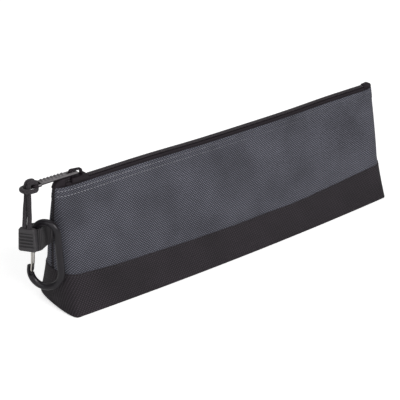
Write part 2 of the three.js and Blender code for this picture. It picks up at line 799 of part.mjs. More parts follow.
function carabinerFrame() {
  let frame = sweptRod(carabinerPath(), rodRadius, 14);
  const thin = tongueThickness / 2;

  // The stub's end and the nose are thinned to tongues that the gate's wires straddle
  for (const side of [-1, 1]) {
    const y0 = side < 0 ? -rodDiameter : thin;
    const y1 = side < 0 ? -thin : rodDiameter;
    frame = frame.subtract(box(
      -rodDiameter, rodDiameter, y0, y1, gateBottomZ - stubOverlap, gatePivotZ + tongueReach,
    ));
  }

  // The notch in the nose is open to the inside and takes the gate's foot
  const notchU = gateSideU(gateBottomZ) + footInset - wireRadius - clearance;
  frame = frame.subtract(box(
    notchU, notchU + rodDiameter, -rodDiameter, rodDiameter,
    gateBottomZ - wireRadius - clearance, gateBottomZ + wireRadius + clearance * 3,
  ));
  const hole = prismAlongY(
    circlePoints(gateSideU(gatePivotZ), gatePivotZ, holeRadius, 10), -rodDiameter, rodDiameter,
  );
  return frame.subtract(hole);
}
addPiece('carabiner_frame', toGeometry(carabinerFrame()), blackMetal, carabiner);

// Gate: one bent wire whose ends turn in to the stub's hole and whose foot hooks the nose
function gateWire() {
  const pivotU = gateSideU(gatePivotZ);
  const footU = gateSideU(gateBottomZ) + footInset;
  const halfPath = (side) => [
    [pivotU, side * clearance, gatePivotZ],
    [pivotU, side * (legOffset - 0.7), gatePivotZ],
    [pivotU, side * legOffset, gatePivotZ - 0.8],
    [pivotU + (footU - pivotU) * 0.2, side * legOffset, gatePivotZ - 6],
    [pivotU + (footU - pivotU) * 0.55, side * legOffset, gateBottomZ + 8],
    [footU, side * (legOffset - 0.1), gateBottomZ + 2.4],
    [footU, side * (legOffset - 0.8), gateBottomZ + 0.6],
  ];
  const points = [...halfPath(-1), [footU, 0, gateBottomZ], ...halfPath(1).reverse()];
  const path = points.map(([u, y, z]) => new THREE.Vector3(u, y, z));
  return tube(path, wireRadius, 8, 56);
}
addPiece('gate_wire', gateWire(), silverMetal, carabiner);

export default group;
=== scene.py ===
import math

import bmesh
import bpy
from mathutils import Matrix, Vector


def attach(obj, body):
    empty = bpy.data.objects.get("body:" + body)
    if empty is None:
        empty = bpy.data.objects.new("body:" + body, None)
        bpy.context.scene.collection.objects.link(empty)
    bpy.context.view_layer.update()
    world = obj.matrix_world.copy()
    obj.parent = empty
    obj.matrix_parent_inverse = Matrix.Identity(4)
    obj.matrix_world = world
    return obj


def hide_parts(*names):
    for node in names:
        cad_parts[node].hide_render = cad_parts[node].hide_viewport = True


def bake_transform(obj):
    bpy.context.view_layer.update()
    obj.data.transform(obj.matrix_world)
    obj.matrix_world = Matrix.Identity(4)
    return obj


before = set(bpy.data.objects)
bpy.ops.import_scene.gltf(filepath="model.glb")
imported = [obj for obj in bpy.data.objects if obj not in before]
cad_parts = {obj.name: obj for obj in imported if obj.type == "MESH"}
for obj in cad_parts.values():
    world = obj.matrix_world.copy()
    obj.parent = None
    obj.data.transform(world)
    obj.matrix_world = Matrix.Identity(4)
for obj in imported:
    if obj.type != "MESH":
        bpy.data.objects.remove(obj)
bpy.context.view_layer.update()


# Camera: a long lens from the front left, a little above the bag.
# The lens is set for a picture of 400 by 400 pixels.
LENS_MM = 108.0
AIM = Vector((-0.0304, 0.0, 0.0494))
AZIMUTH = math.radians(-39.3)
ELEVATION = math.radians(25.3)
DISTANCE = 1.057

back = Vector((
    math.sin(AZIMUTH) * math.cos(ELEVATION),
    -math.cos(AZIMUTH) * math.cos(ELEVATION),
    math.sin(ELEVATION),
))
camera_data = bpy.data.cameras.new("camera")
camera_data.sensor_width = 36.0
camera_data.lens = LENS_MM
camera_data.clip_start = 0.05
camera_data.clip_end = 20.0
camera = bpy.data.objects.new("camera", camera_data)
camera.location = AIM + back * DISTANCE
camera.rotation_euler = back.to_track_quat("Z", "Y").to_euler()
bpy.context.scene.collection.objects.link(camera)
bpy.context.scene.camera = camera


# Pull cord: a thin limp braided cord, doubled. Its loop goes through the eye of the pull tab,
# and both strands pass back through the loop and hang down into the grip.
CORD_THICK = 0.0036
CORD_SIDES = 14
CORD_STEPS = 6
PLAITS_ROUND = 4.0
PLAIT_LONG = 0.0022
CORD_DROP = 29.6
GRIP_OUT = 12.0
GRIP_FORWARD = 9.3
GRIP_TURN = math.radians(-55)
STRAND_SPREAD = 2.0
LOOP_TIP = (8.6, 0, -2.3)
END_BAR = Vector((-0.1997, 0.0, 0.11267))


def only(obj):
    for other in bpy.context.selected_objects:
        other.select_set(False)
    obj.select_set(True)
    bpy.context.view_layer.objects.active = obj


def smooth(obj, degrees):
    only(obj)
    bpy.ops.object.shade_smooth_by_angle(angle=math.radians(degrees))


def new_piece(name):
    piece = bpy.context.active_object
    piece.name = name
    piece.data.name = name
    return piece


def mix(a, b, share):
    return a + (b - a) * share


def strand(side):
    """One strand from the grip up to the hitch: millimetres out, across and up from the end bar."""
    out = GRIP_OUT + side * STRAND_SPREAD * math.cos(GRIP_TURN)
    across = -GRIP_FORWARD - side * STRAND_SPREAD * math.sin(GRIP_TURN)
    return [
        (out, across, -CORD_DROP),
        (out, across, -CORD_DROP + 2),
        (GRIP_OUT - 1.7 + side * 1.1, -GRIP_FORWARD + 1.5 + side * 1.7, -CORD_DROP + 7.5),
        (7.6 + side * 0.7, side * 1.85 - 4.1, -16.1),
        (5.5 + side * 0.3, side * 1.9 - 1.8, -10.6),
        (4.1, side * 2.0, -5),
        (4.0, side * 2.0, 0),
        (2.8, side * 2.0, 2.6),
        (0.3, side * 2.0, 3.2),
        (-2.4, side * 2.0, 2.5),
        (-3.2, side * 2.0, 0),
        (-2.9, side * 2.5, -2.5),
        (-1.4, side * 4.0, -3.2),
        (0.8, side * 5.1, -2.8),
        (4.4, side * 5.1, -2.5),
        (7.4, side * 3.4, -2.3),
    ]


def smooth_path(places, steps):
    """Points along a curve that is smooth through the given places."""
    path = []
    count = len(places)
    for i in range(count - 1):
        before = places[max(i - 1, 0)]
        start = places[i]
        end = places[i + 1]
        after = places[min(i + 2, count - 1)]
        span = max((end - start).length, 1e-9)
        slope_in = (end - before) / (span + (start - before).length) * span
        slope_out = (after - start) / ((after - end).length + span) * span
        for k in range(steps):
            t = k / steps
            a = 2 * t**3 - 3 * t**2 + 1
            b = t**3 - 2 * t**2 + t
            c = -2 * t**3 + 3 * t**2
            d = t**3 - t**2
            path.append(start * a + slope_in * b + end * c + slope_out * d)
    path.append(places[-1])
    return path


def lengths_along(points):
    """How far each point is along the line through them all."""
    lengths = [0.0]
    for a, b in zip(points, points[1:]):
        lengths.append(lengths[-1] + (b - a).length)
    return lengths


def bend_tube(name, path, radius, sides):
    """A round tube along the path, made of a ring of vertices extruded from point to point."""
    bpy.ops.mesh.primitive_circle_add(vertices=sides, radius=radius)
    tube = new_piece(name)
    mesh = tube.data
    bm = bmesh.new()
    rings = []
    normal = None
    lengths = lengths_along(path)
    for i, place in enumerate(path):
        ahead = (path[min(i + 1, len(path) - 1)] - path[max(i - 1, 0)]).normalized()
        if normal is None:
            normal = ahead.orthogonal().normalized()
        normal = (normal - ahead * normal.dot(ahead)).normalized()
        across = ahead.cross(normal)
        rings.append([
            bm.verts.new(place + (normal * math.cos(a) + across * math.sin(a)) * radius)
            for a in (2 * math.pi * k / sides for k in range(sides))
        ])
    along = bm.loops.layers.uv.new("along")
    for i in range(len(rings) - 1):
        for k in range(sides):
            n = (k + 1) % sides
            face = bm.faces.new((rings[i][k], rings[i][n], rings[i + 1][n], rings[i + 1][k]))
            corners = [(k, i), (k + 1, i), (k + 1, i + 1), (k, i + 1)]
            for loop, (turn, step) in zip(face.loops, corners):
                loop[along].uv = (turn / sides, lengths[step])
    bm.faces.new(list(reversed(rings[0])))
    bm.faces.new(rings[-1])
    bm.to_mesh(mesh)
    bm.free()
    smooth(tube, 60)
    return tube


def new_material(name):
    material = bpy.data.materials.new(name)
    material.use_nodes = True
    material.node_tree.nodes.clear()
    return material


def node(material, kind, inputs=None, **settings):
    made = material.node_tree.nodes.new(kind)
    for key, value in settings.items():
        setattr(made, key, value)
    for key, value in (inputs or {}).items():
        if isinstance(value, bpy.types.NodeSocket):
            material.node_tree.links.new(value, made.inputs[key])
        else:
            made.inputs[key].default_value = value
    return made


def maths(material, operation, a, b=0.0, c=0.0):
    return node(material, "ShaderNodeMath", {0: a, 1: b, 2: c}, operation=operation).outputs[0]


def uv_place(material, uv_map):
    return node(material, "ShaderNodeUVMap", uv_map=uv_map).outputs[0]


def directions(material, place):
    axes = node(material, "ShaderNodeSeparateXYZ", {0: place})
    return axes.outputs[0], axes.outputs[1]


def blend_colours(material, share, dark, light):
    ramp = node(material, "ShaderNodeValToRGB", {0: share})
    ramp.color_ramp.elements[0].color = (*dark, 1)
    ramp.color_ramp.elements[1].color = (*light, 1)
    return ramp.outputs[0]


def finish_material(material, colour, bump, strength, distance, roughness, **fixed):
    """The shader and output that every finish ends in."""
    raised = node(material, "ShaderNodeBump", {
        "Height": bump, "Strength": strength, "Distance": distance,
    })
    shader = node(material, "ShaderNodeBsdfPrincipled", {
        "Base Color": colour, "Roughness": roughness, "Normal": raised.outputs[0],
    })
    for key, value in fixed.items():
        shader.inputs[key.replace("_", " ")].default_value = value
    node(material, "ShaderNodeOutputMaterial", {"Surface": shader.outputs[0]})


def braid_material():
    material = new_material("braided_cord")
    around, along = directions(material, uv_place(material, "along"))
    turn = maths(material, "MULTIPLY", around, PLAITS_ROUND)
    rise = maths(material, "MULTIPLY", along, 1 / PLAIT_LONG)
    one = maths(material, "PINGPONG", maths(material, "ADD", turn, rise), 0.5)
    other = maths(material, "PINGPONG", maths(material, "SUBTRACT", turn, rise), 0.5)
    plait = maths(material, "MULTIPLY", maths(material, "MAXIMUM", one, other), 2.0)
    # Lighter on the crown of each plait and darker between plaits: painted highlight and shade on the
    # braid.
    colour = blend_colours(material, plait, (0.0085, 0.006, 0.0085), (0.033, 0.026, 0.032))
    finish_material(material, colour, plait, 0.7, 0.0004, 0.72, Sheen_Weight=0.15, Sheen_Roughness=0.5)
    return material


route = [*strand(-1), LOOP_TIP, *reversed(strand(1))]
cord_places = [END_BAR + Vector((-o, y, z)) * 0.001 for o, y, z in route]
cord_path = smooth_path(cord_places, CORD_STEPS)
cord = bend_tube("cord", cord_path, CORD_THICK / 2, CORD_SIDES)
cord.data.materials.append(braid_material())
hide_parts("pull_cord")
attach(cord, "pull_cord")


# Grip: a moulded plastic plate at the end of the cord, with a smooth head and five ribs.
# It is a little wider at the bottom, and a small pin shows low on each face.
GRIP_TOP = 0.013
GRIP_BOTTOM = 0.0154
GRIP_TALL = 0.0195
GRIP_THICK = 0.0054
GRIP_SLIM = 0.86
GRIP_GAP = 0.3
LOW_CORNER = 0.0020
HIGH_CORNER = 0.0012
GRIP_RIBS = 5
RIB_FIRST = 0.0034
RIB_PITCH = 0.0028
RIB_TALL = 0.0014
RIB_WIDE = 0.0112
RIB_DEEP = 0.0006
RIB_SHADE_FROM = 0.0024
PIN_RADIUS = 0.0007
PIN_DEEP = 0.0008
PIN_UP = 0.0036


def apply_modifiers(obj):
    only(obj)
    for modifier in list(obj.modifiers):
        bpy.ops.object.modifier_apply(modifier=modifier.name)


def bevel(obj, width, segments=2, angle=35):
    modifier = obj.modifiers.new("edges", "BEVEL")
    modifier.width = width
    modifier.segments = segments
    modifier.limit_method = "ANGLE"
    modifier.angle_limit = math.radians(angle)
    apply_modifiers(obj)


def settle(obj, matrix=None):
    """Puts the piece's place into its mesh, and leaves the object itself at the origin."""
    only(obj)
    if matrix is not None:
        obj.matrix_world = matrix @ obj.matrix_world
    bpy.ops.object.transform_apply(location=True, rotation=True, scale=True)


def edit(obj):
    """Opens the piece for editing, with all of it selected."""
    only(obj)
    bpy.ops.object.mode_set(mode="EDIT")
    bpy.ops.mesh.select_all(action="SELECT")


def end_edit():
    bpy.ops.object.mode_set(mode="OBJECT")


def select_only(obj, kind, wanted):
    """Selects the edges or faces that answer to the test, and nothing else."""
    bpy.ops.mesh.select_mode(type=kind)
    bpy.ops.mesh.select_all(action="DESELECT")
    bm = bmesh.from_edit_mesh(obj.data)
    for item in bm.edges if kind == "EDGE" else bm.faces:
        if wanted(item):
            item.select_set(True)
    bmesh.update_edit_mesh(obj.data)


def round_edges(obj, wanted, radius, segments):
    """Rounds the edges whose two ends answer to the test."""
    edit(obj)
    select_only(obj, "EDGE", lambda edge: wanted(edge.verts[0].co, edge.verts[1].co))
    bpy.ops.mesh.bevel(offset=radius, segments=segments)
    end_edit()


def cut_at(place, direction):
    bpy.ops.mesh.select_all(action="SELECT")
    bpy.ops.mesh.bisect(plane_co=place, plane_no=direction)


def noise(material, place, scale, detail):
    return node(material, "ShaderNodeTexNoise", {
        "Vector": place, "Scale": scale, "Detail": detail,
    }).outputs[0]


def grained_material(name, grain, patches, dark, light, bump, roughness, **fixed):
    """A moulded, cast or drawn surface: fine grain raises it, and patches change its tone.
    Grain and patches are each a scale and a detail, and bump is a strength and a height."""
    material = new_material(name)
    place = node(material, "ShaderNodeTexCoord").outputs["Object"]
    colour = blend_colours(material, noise(material, place, *patches), dark, light)
    finish_material(material, colour, noise(material, place, *grain), *bump, roughness, **fixed)
    return material


bpy.ops.mesh.primitive_cube_add(size=1)
grip = new_piece("grip")
grip.scale = (GRIP_BOTTOM, GRIP_THICK, GRIP_TALL)
settle(grip)
edit(grip)
select_only(grip, "FACE", lambda face: face.normal.z > 0.5)
bpy.ops.transform.resize(value=(GRIP_TOP / GRIP_BOTTOM, GRIP_SLIM, 1))
end_edit()
round_edges(grip, lambda a, b: abs(a.y - b.y) > GRIP_THICK / 2 and a.z < 0, LOW_CORNER, 6)
round_edges(
    grip, lambda a, b: abs(a.y - b.y) > GRIP_THICK / 2 and a.z > GRIP_TALL * 0.4, HIGH_CORNER, 5,
)
bevel(grip, 0.0009, 4, 50)
smooth(grip, 50)
grip_middle = END_BAR + Vector((
    -GRIP_OUT, -GRIP_FORWARD, -CORD_DROP - GRIP_GAP - GRIP_TALL * 500,
)) * 0.001
grip_place = Matrix.Translation(grip_middle) @ Matrix.Rotation(GRIP_TURN, 4, "Z")
grip_parts = [grip]
for face, label in ((-1, "front"), (1, "back")):
    for i in range(GRIP_RIBS):
        level = -GRIP_TALL / 2 + RIB_FIRST + RIB_PITCH * i
        share = level / GRIP_TALL + 0.5
        bpy.ops.mesh.primitive_cube_add(size=1)
        rib = new_piece(f"grip_rib_{label}_{i + 1}")
        rib.scale = (RIB_WIDE * mix(1.08, 0.98, share), RIB_DEEP * 2, RIB_TALL)
        settle(rib)
        bevel(rib, RIB_TALL * 0.32, 3, 50)
        smooth(rib, 60)
        settle(rib, Matrix.Translation((0, face * GRIP_THICK / 2 * mix(1, GRIP_SLIM, share), level)))
        grip_parts.append(rib)
    bpy.ops.mesh.primitive_cylinder_add(
        vertices=20, radius=PIN_RADIUS, depth=PIN_DEEP, rotation=(math.pi / 2, 0, 0),
        location=(GRIP_BOTTOM * 0.42, face * GRIP_THICK / 2 * 0.98, -GRIP_TALL / 2 + PIN_UP),
    )
    pin = new_piece(f"grip_pin_{label}")
    settle(pin)
    bevel(pin, 0.0002, 2, 50)
    smooth(pin, 50)
    grip_parts.append(pin)
moulded = {"grain": (2600.0, 3.0), "patches": (160.0, 2.0), "bump": (0.25, 0.0002), "roughness": 0.42}
plastic = grained_material(
    "moulded_plastic", dark=(0.040, 0.036, 0.040), light=(0.058, 0.054, 0.058), **moulded,
)
# The grip body between the ribs gets a darker copy of the plastic: painted shade in the grooves.
shaded_plastic = grained_material(
    "painted_groove_shade", dark=(0.012, 0.010, 0.012), light=(0.020, 0.018, 0.020), **moulded,
)
shade_band_low = -GRIP_TALL / 2 + RIB_SHADE_FROM
shade_band_high = -GRIP_TALL / 2 + RIB_FIRST + RIB_PITCH * (GRIP_RIBS - 0.5)
edit(grip)
for level in (shade_band_low, shade_band_high):
    cut_at((0, 0, level), (0, 0, 1))
for across in (-RIB_WIDE / 2, RIB_WIDE / 2):
    cut_at((across, 0, 0), (1, 0, 0))
end_edit()
for part in grip_parts:
    part.data.materials.append(plastic)
grip.data.materials.append(shaded_plastic)
# Faces of the body in the ribbed band take the painted groove shade; the rest keep the plastic.
for face in grip.data.polygons:
    in_shade_band = shade_band_low < face.center.z < shade_band_high and abs(face.center.x) < RIB_WIDE / 2
    face.material_index = int(in_shade_band and abs(face.normal.y) > 0.5)
for part in grip_parts:
    settle(part, grip_place)
    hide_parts("cord_grip")
    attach(part, "pull_cord")


# Floor and light: a plain pale floor under broad soft lamps, with an even white surround.
# The floor isn't part of the bag.
FLOOR_SIZE = 12
FLOOR_TONE = 0.92
FLOOR_GLOW = 0.55
SURROUND_LIGHT = 0.20
LAMP_AIM = (0, 0, 0.05)

bpy.ops.mesh.primitive_plane_add(size=FLOOR_SIZE, location=(0, 0, 0))
floor = new_piece("floor")
settle(floor)
floor_paint = new_material("floor_paint")
rays = node(floor_paint, "ShaderNodeLightPath")
diffuse = node(floor_paint, "ShaderNodeBsdfDiffuse", {
    "Color": (FLOOR_TONE, FLOOR_TONE, FLOOR_TONE, 1),
})
white = node(floor_paint, "ShaderNodeEmission", {"Color": (1, 1, 1, 1), "Strength": FLOOR_GLOW})
lit = node(floor_paint, "ShaderNodeAddShader", {0: diffuse.outputs[0], 1: white.outputs[0]})
shown = node(floor_paint, "ShaderNodeMixShader", {
    0: rays.outputs["Is Camera Ray"], 1: diffuse.outputs[0], 2: lit.outputs[0],
})
node(floor_paint, "ShaderNodeOutputMaterial", {"Surface": shown.outputs[0]})
floor.data.materials.append(floor_paint)

surround = bpy.data.worlds.new("surround")
bpy.context.scene.world = surround
surround.use_nodes = True
surround.node_tree.nodes.clear()
rays = node(surround, "ShaderNodeLightPath")
ambient = node(surround, "ShaderNodeBackground", {
    "Color": (1, 1, 1, 1), "Strength": SURROUND_LIGHT,
})
backdrop = node(surround, "ShaderNodeBackground", {"Color": (1, 1, 1, 1), "Strength": 1.0})
mixed = node(surround, "ShaderNodeMixShader", {
    0: rays.outputs["Is Camera Ray"], 1: ambient.outputs[0], 2: backdrop.outputs[0],
})
node(surround, "ShaderNodeOutputWorld", {"Surface": mixed.outputs[0]})


def soft_lamp(name, place, size, power):
    data = bpy.data.lights.new(name, "AREA")
    data.shape = "SQUARE"
    data.size = size
    data.energy = power
    lamp = bpy.data.objects.new(name, data)
    lamp.location = place
    lamp.rotation_euler = (Vector(place) - Vector(LAMP_AIM)).to_track_quat("Z", "Y").to_euler()
    bpy.context.scene.collection.objects.link(lamp)


soft_lamp("key_lamp", (0.05, -1.58, 1.2), 0.9, 19)
soft_lamp("side_lamp", (-1.3, -0.9, 0.8), 1.0, 5)
soft_lamp("top_lamp", (0.2, 0.6, 1.7), 1.3, 8)
bpy.context.scene.view_settings.view_transform = "Standard"


# Boot: one piece of black ballistic nylon for the front, bottom and rear of the base.
# It is folded round the floor, and its folded top edge is sewn over the grey walls.
BAG_TALL = 0.1095
PANEL_TOP = 0.1055
MOUTH_LONG = 0.361
BASE_LONG = 0.3715
SIDE_BULGE = 0.0006
BASE_DEEP = 0.061
FACE_BOW = 0.0045
MOUTH_DEEP = 0.0096
MOUTH_LEAN = 0.0026
ZIP_SAG = 0.0014
CORNER_RISE = 0.0012
END_RISE = 0.0009
FOOT_TWIST = 0.056
SHOULDER = 0.040
END_ROUND = 2.3
END_LONG = (0.006, 0.0175, 0.0085)
FOLD_RADIUS = 0.0015
CLOTH = 0.0012
BOOT_PROUD = 0.0005
SEAM_LOW = 0.0292
SEAM_HIGH = 0.035
END_STEPS = 12


def half_length(z):
    rise = max(z, 0) / PANEL_TOP
    return mix(BASE_LONG / 2, MOUTH_LONG / 2, rise**2) + SIDE_BULGE * math.sin(math.pi * rise)


def half_depth(z):
    return mix(BASE_DEEP / 2, MOUTH_DEEP / 2, z / PANEL_TOP)


def end_length(z):
    if z < SHOULDER:
        return mix(END_LONG[0], END_LONG[1], z / SHOULDER)
    return mix(END_LONG[1], END_LONG[2], (z - SHOULDER) / (PANEL_TOP - SHOULDER))


def lean_at(x, z):
    """The mouth rises a little from the left end to the right one, and the walls follow it."""
    return MOUTH_LEAN * x / MOUTH_LONG * z / PANEL_TOP


def sag_at(x):
    """The filled zip dips along its middle and stands up at its left corner and right end."""
    dip = math.exp(-((x - 0.018) / 0.085)**4)
    rise = math.exp(-((x - 0.179) / 0.007)**2)
    corner = math.exp(-((x + 0.183) / 0.012)**2)
    return END_RISE * rise + CORNER_RISE * corner - ZIP_SAG * dip


def leaned(point):
    level = point.z / PANEL_TOP
    return point + Vector((0, 0, lean_at(point.x, point.z) + sag_at(point.x) * level**3))


def twisted(point):
    """The foot of the bag stands a little askew under its mouth."""
    level = 1 - point.z / PANEL_TOP
    return point + Vector((FOOT_TWIST * point.y * level, 0, 0))


def seam_height(x):
    return mix(SEAM_LOW, SEAM_HIGH, (x / (BASE_LONG / 2))**2)


def wall_point(i, columns, z, inset, front, gap=0.0):
    """The point of column i at a height, counted from the left side seam round to the right one."""
    length = half_length(z) - inset
    depth = half_depth(z) - inset
    end = end_length(z) - inset * 0.5
    side = -1 if i < columns / 2 else 1
    step = min(i, columns - i)
    if step >= END_STEPS:
        reach = length - end
        x = mix(-reach, reach, (i - END_STEPS) / (columns - 2 * END_STEPS))
        bow = FACE_BOW * (1 - z / PANEL_TOP) * (1 - (x / reach)**2)
        return Vector((x, (depth + bow) * front, z))
    first = math.asin(min(gap / depth, 1)**(END_ROUND / 2))
    angle = mix(first, math.pi / 2, step / END_STEPS)
    x = length - end + end * math.cos(angle)**(2 / END_ROUND)
    return Vector((side * x, front * depth * math.sin(angle)**(2 / END_ROUND), z))


def along_row(points):
    """How far each point is along its row, from the row's middle."""
    lengths = lengths_along(points)
    return [length - lengths[-1] / 2 for length in lengths]


def cloth_from_rows(name, rows, flip):
    """A grid laid on rows of points, whose UV map follows the cloth in metres."""
    columns = len(rows[0]) - 1
    levels = len(rows) - 1
    bpy.ops.mesh.primitive_grid_add(x_subdivisions=columns, y_subdivisions=levels, size=2)
    cloth = new_piece(name)
    mesh = cloth.data
    while mesh.uv_layers:
        mesh.uv_layers.remove(mesh.uv_layers[0])
    weave = mesh.uv_layers.new(name="weave")
    along = [along_row(row) for row in rows]
    up = lengths_along([row[columns // 4] for row in rows])
    spots = []
    for vertex in mesh.vertices:
        i = round((vertex.co.x + 1) / 2 * columns)
        j = round((vertex.co.y + 1) / 2 * levels)
        spots.append((along[j][i], up[j] + 0.2))
        vertex.co = rows[j][i]
    for loop in mesh.loops:
        weave.data[loop.index].uv = spots[loop.vertex_index]
    if flip:
        mesh.flip_normals()
    return cloth


def solidify(obj, thickness, offset=-1.0):
    modifier = obj.modifiers.new("thickness", "SOLIDIFY")
    modifier.thickness = thickness
    modifier.offset = offset
    modifier.use_even_offset = True
    apply_modifiers(obj)


YARN_ACROSS = 0.00130
YARN_UP = 0.00109
YARN_DRIFT = 0.0012
DRIFT_SCALE = 60.0
PATCH_AND_FOLD_SHADE_SCALE = 22.0
FIBRE_SCALE = 1500.0


def weave_material(name, gap_shade, thread, sheen):
    """Ballistic nylon: paired yarns that pass over and under each other like a basket."""
    material = new_material(name)
    place = uv_place(material, "weave")
    across, up = directions(material, place)
    shift = maths(material, "MULTIPLY", noise(material, place, DRIFT_SCALE, 2.0), YARN_DRIFT)
    across = maths(material, "DIVIDE", maths(material, "ADD", across, shift), YARN_ACROSS)
    up = maths(material, "DIVIDE", maths(material, "ADD", up, shift), YARN_UP)
    cells = maths(material, "ADD", maths(material, "FLOOR", across), maths(material, "FLOOR", up))
    over = maths(material, "PINGPONG", cells, 1.0)
    across_yarn = maths(material, "MULTIPLY", maths(material, "FRACT", across), math.pi)
    up_yarn = maths(material, "MULTIPLY", maths(material, "FRACT", up), math.pi)
    warp = maths(material, "SINE", across_yarn)
    weft = maths(material, "SINE", up_yarn)
    warp_end = maths(material, "MULTIPLY_ADD", weft, 0.5, 0.5)
    weft_end = maths(material, "MULTIPLY_ADD", warp, 0.3, 0.7)
    warp_float = maths(material, "MULTIPLY", warp, warp_end)
    weft_float = maths(material, "MULTIPLY", weft, weft_end)
    low_warp = maths(material, "MULTIPLY", warp_float, 0.2)
    crown = node(material, "ShaderNodeMix", {0: over, 2: weft_float, 3: low_warp}).outputs[0]
    # The broad patches vary the cloth's tone at random and also paint the shade of its shallow folds.
    patches = noise(material, place, PATCH_AND_FOLD_SHADE_SCALE, 2.0)
    fibres = noise(material, place, FIBRE_SCALE, 2.0)
    patch_and_fold_shade = maths(material, "MULTIPLY_ADD", patches, 1.5, 0.25)
    fine = maths(material, "MULTIPLY", maths(material, "SUBTRACT", fibres, 0.5), 0.4)
    shade = maths(material, "ADD", maths(material, "MULTIPLY", crown, patch_and_fold_shade), fine)
    # The colour runs from near-black between the yarns, painted shade in the gaps, up to the yarn tone
    # on their crowns.
    colour = blend_colours(material, shade, gap_shade, thread)
    finish_material(
        material, colour, crown, 1.0, 0.00025, 0.85, Sheen_Weight=sheen, Sheen_Roughness=0.45,
    )
    return material


FOLD_DEPTH = 0.0022
SLACK_LOW = 0.004
SLACK_TALL = 0.098
SLACK_HALF_LONG = 0.174


def ripple(x, z, side):
    """The slack of the cloth: broad shallow folds that die out at its edges."""
    body = math.sin(math.pi * min(max((z - SLACK_LOW) / SLACK_TALL, 0), 1))
    folds = (
        0.50 * math.sin(x * 31 + z * 22 + side)
        + 0.36 * math.sin(x * 58 - z * 41 + 1.7 * side)
        + 0.22 * math.sin(x * 97 + z * 63 + 0.6)
    )
    ends = max(1 - abs(x / SLACK_HALF_LONG)**6, 0)
    return FOLD_DEPTH * folds * body * ends


def slacken(point, side):
    return point + Vector((0, side, 0.22)).normalized() * ripple(point.x, point.z, side)


BOOT_COLUMNS = 180
FOLD_RINGS = 5
WALL_RINGS = 16

boot_rows = []
for ring in range(FOLD_RINGS + WALL_RINGS + 1):
    row = []
    for i in range(2 * BOOT_COLUMNS + 1):
        front, column = (-1, i) if i <= BOOT_COLUMNS else (1, 2 * BOOT_COLUMNS - i)
        if ring < FOLD_RINGS:
            turn = ring / FOLD_RINGS * math.pi / 2
            z = FOLD_RADIUS * (1 - math.cos(turn))
            inset = FOLD_RADIUS * (1 - math.sin(turn))
            row.append(twisted(wall_point(column, BOOT_COLUMNS, z, inset, front)))
            continue
        rise = (ring - FOLD_RINGS) / WALL_RINGS
        top = seam_height(wall_point(column, BOOT_COLUMNS, SEAM_LOW, 0, front).x)
        z = mix(FOLD_RADIUS, top, rise)
        row.append(twisted(slacken(wall_point(column, BOOT_COLUMNS, z, 0, front), front)))
    boot_rows.append(row)
boot = cloth_from_rows("boot_cloth", boot_rows, False)
edit(boot)
bpy.ops.mesh.remove_doubles(threshold=0.00002)
bpy.ops.mesh.select_all(action="DESELECT")
end_edit()
for edge in boot.data.edges:
    edge.select = all(boot.data.vertices[v].co.z < 1e-5 for v in edge.vertices)
bpy.ops.object.mode_set(mode="EDIT")
bpy.ops.mesh.select_mode(type="EDGE")
bpy.ops.mesh.edge_face_add()
bpy.ops.mesh.select_all(action="SELECT")
bpy.ops.mesh.normals_make_consistent(inside=False)
end_edit()
bottom = max(boot.data.polygons, key=lambda face: face.area)
for loop in bottom.loop_indices:
    place = boot.data.vertices[boot.data.loops[loop].vertex_index].co
    boot.data.uv_layers["weave"].data[loop].uv = (place.x, place.y)
solidify(boot, CLOTH)
bevel(boot, 0.0004, 2, 60)
smooth(boot, 50)
black_weave = weave_material(
    "black_ballistic_nylon", (0.0030, 0.0016, 0.0028), (0.054, 0.042, 0.054), 0.02,
)
boot.data.materials.append(black_weave)
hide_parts("boot")
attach(boot, "bag")


# Front and rear walls: dark grey ballistic nylon with a folded hem along the mouth.
# They lean in to the zip and wrap round the ends to the side seams.
WALL_COLUMNS = 220
WALL_LEVELS = 46
SEAM_GAP = 0.002
HEM_TALL = 0.0105
HEM_PROUD = 0.0004
HEM_STEP = 0.0012
TUCK = 0.0007


def hem(z):
    """The hem is doubled, so the cloth stands out a little along the mouth."""
    return HEM_PROUD * min(max((z - PANEL_TOP + HEM_TALL) / HEM_STEP, 0), 1)


def wall_surface(column, rise, front):
    """A point of the wall's outer face: rise counts from the boot's seam up to the mouth."""
    foot = wall_point(column, WALL_COLUMNS, SEAM_LOW, BOOT_PROUD, front, SEAM_GAP)
    low = seam_height(foot.x) - TUCK
    z = mix(low - lean_at(foot.x, low), PANEL_TOP, rise)
    place = wall_point(column, WALL_COLUMNS, z, BOOT_PROUD - hem(z), front, SEAM_GAP)
    return leaned(twisted(slacken(place, front)))


def halves(obj):
    """Parts a piece of the mouth in the middle."""
    made = []
    for side, label in ((-1, "left"), (1, "right")):
        half = obj.copy()
        half.data = obj.data.copy()
        half.name = f"{obj.name}_{label}"
        bpy.context.scene.collection.objects.link(half)
        edit(half)
        bpy.ops.mesh.bisect(
            plane_co=(0, 0, 0), plane_no=(side, 0, 0), use_fill=True, clear_inner=True,
        )
        end_edit()
        smooth(half, 50)
        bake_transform(half)
        made.append(half)
    bpy.data.objects.remove(obj)
    return made


grey_weave = weave_material(
    "grey_ballistic_nylon", (0.005, 0.004, 0.008), (0.215, 0.219, 0.270), 0.04,
)
for front, label in ((-1, "front"), (1, "rear")):
    wall_rows = [
        [wall_surface(i, j / WALL_LEVELS, front) for i in range(WALL_COLUMNS + 1)]
        for j in range(WALL_LEVELS + 1)
    ]
    wall = cloth_from_rows(f"{label}_wall", wall_rows, front > 0)
    solidify(wall, CLOTH)
    bevel(wall, 0.00045, 3, 60)
    wall.data.materials.append(grey_weave)
    for half in halves(wall):
        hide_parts(f"{label}_panel")


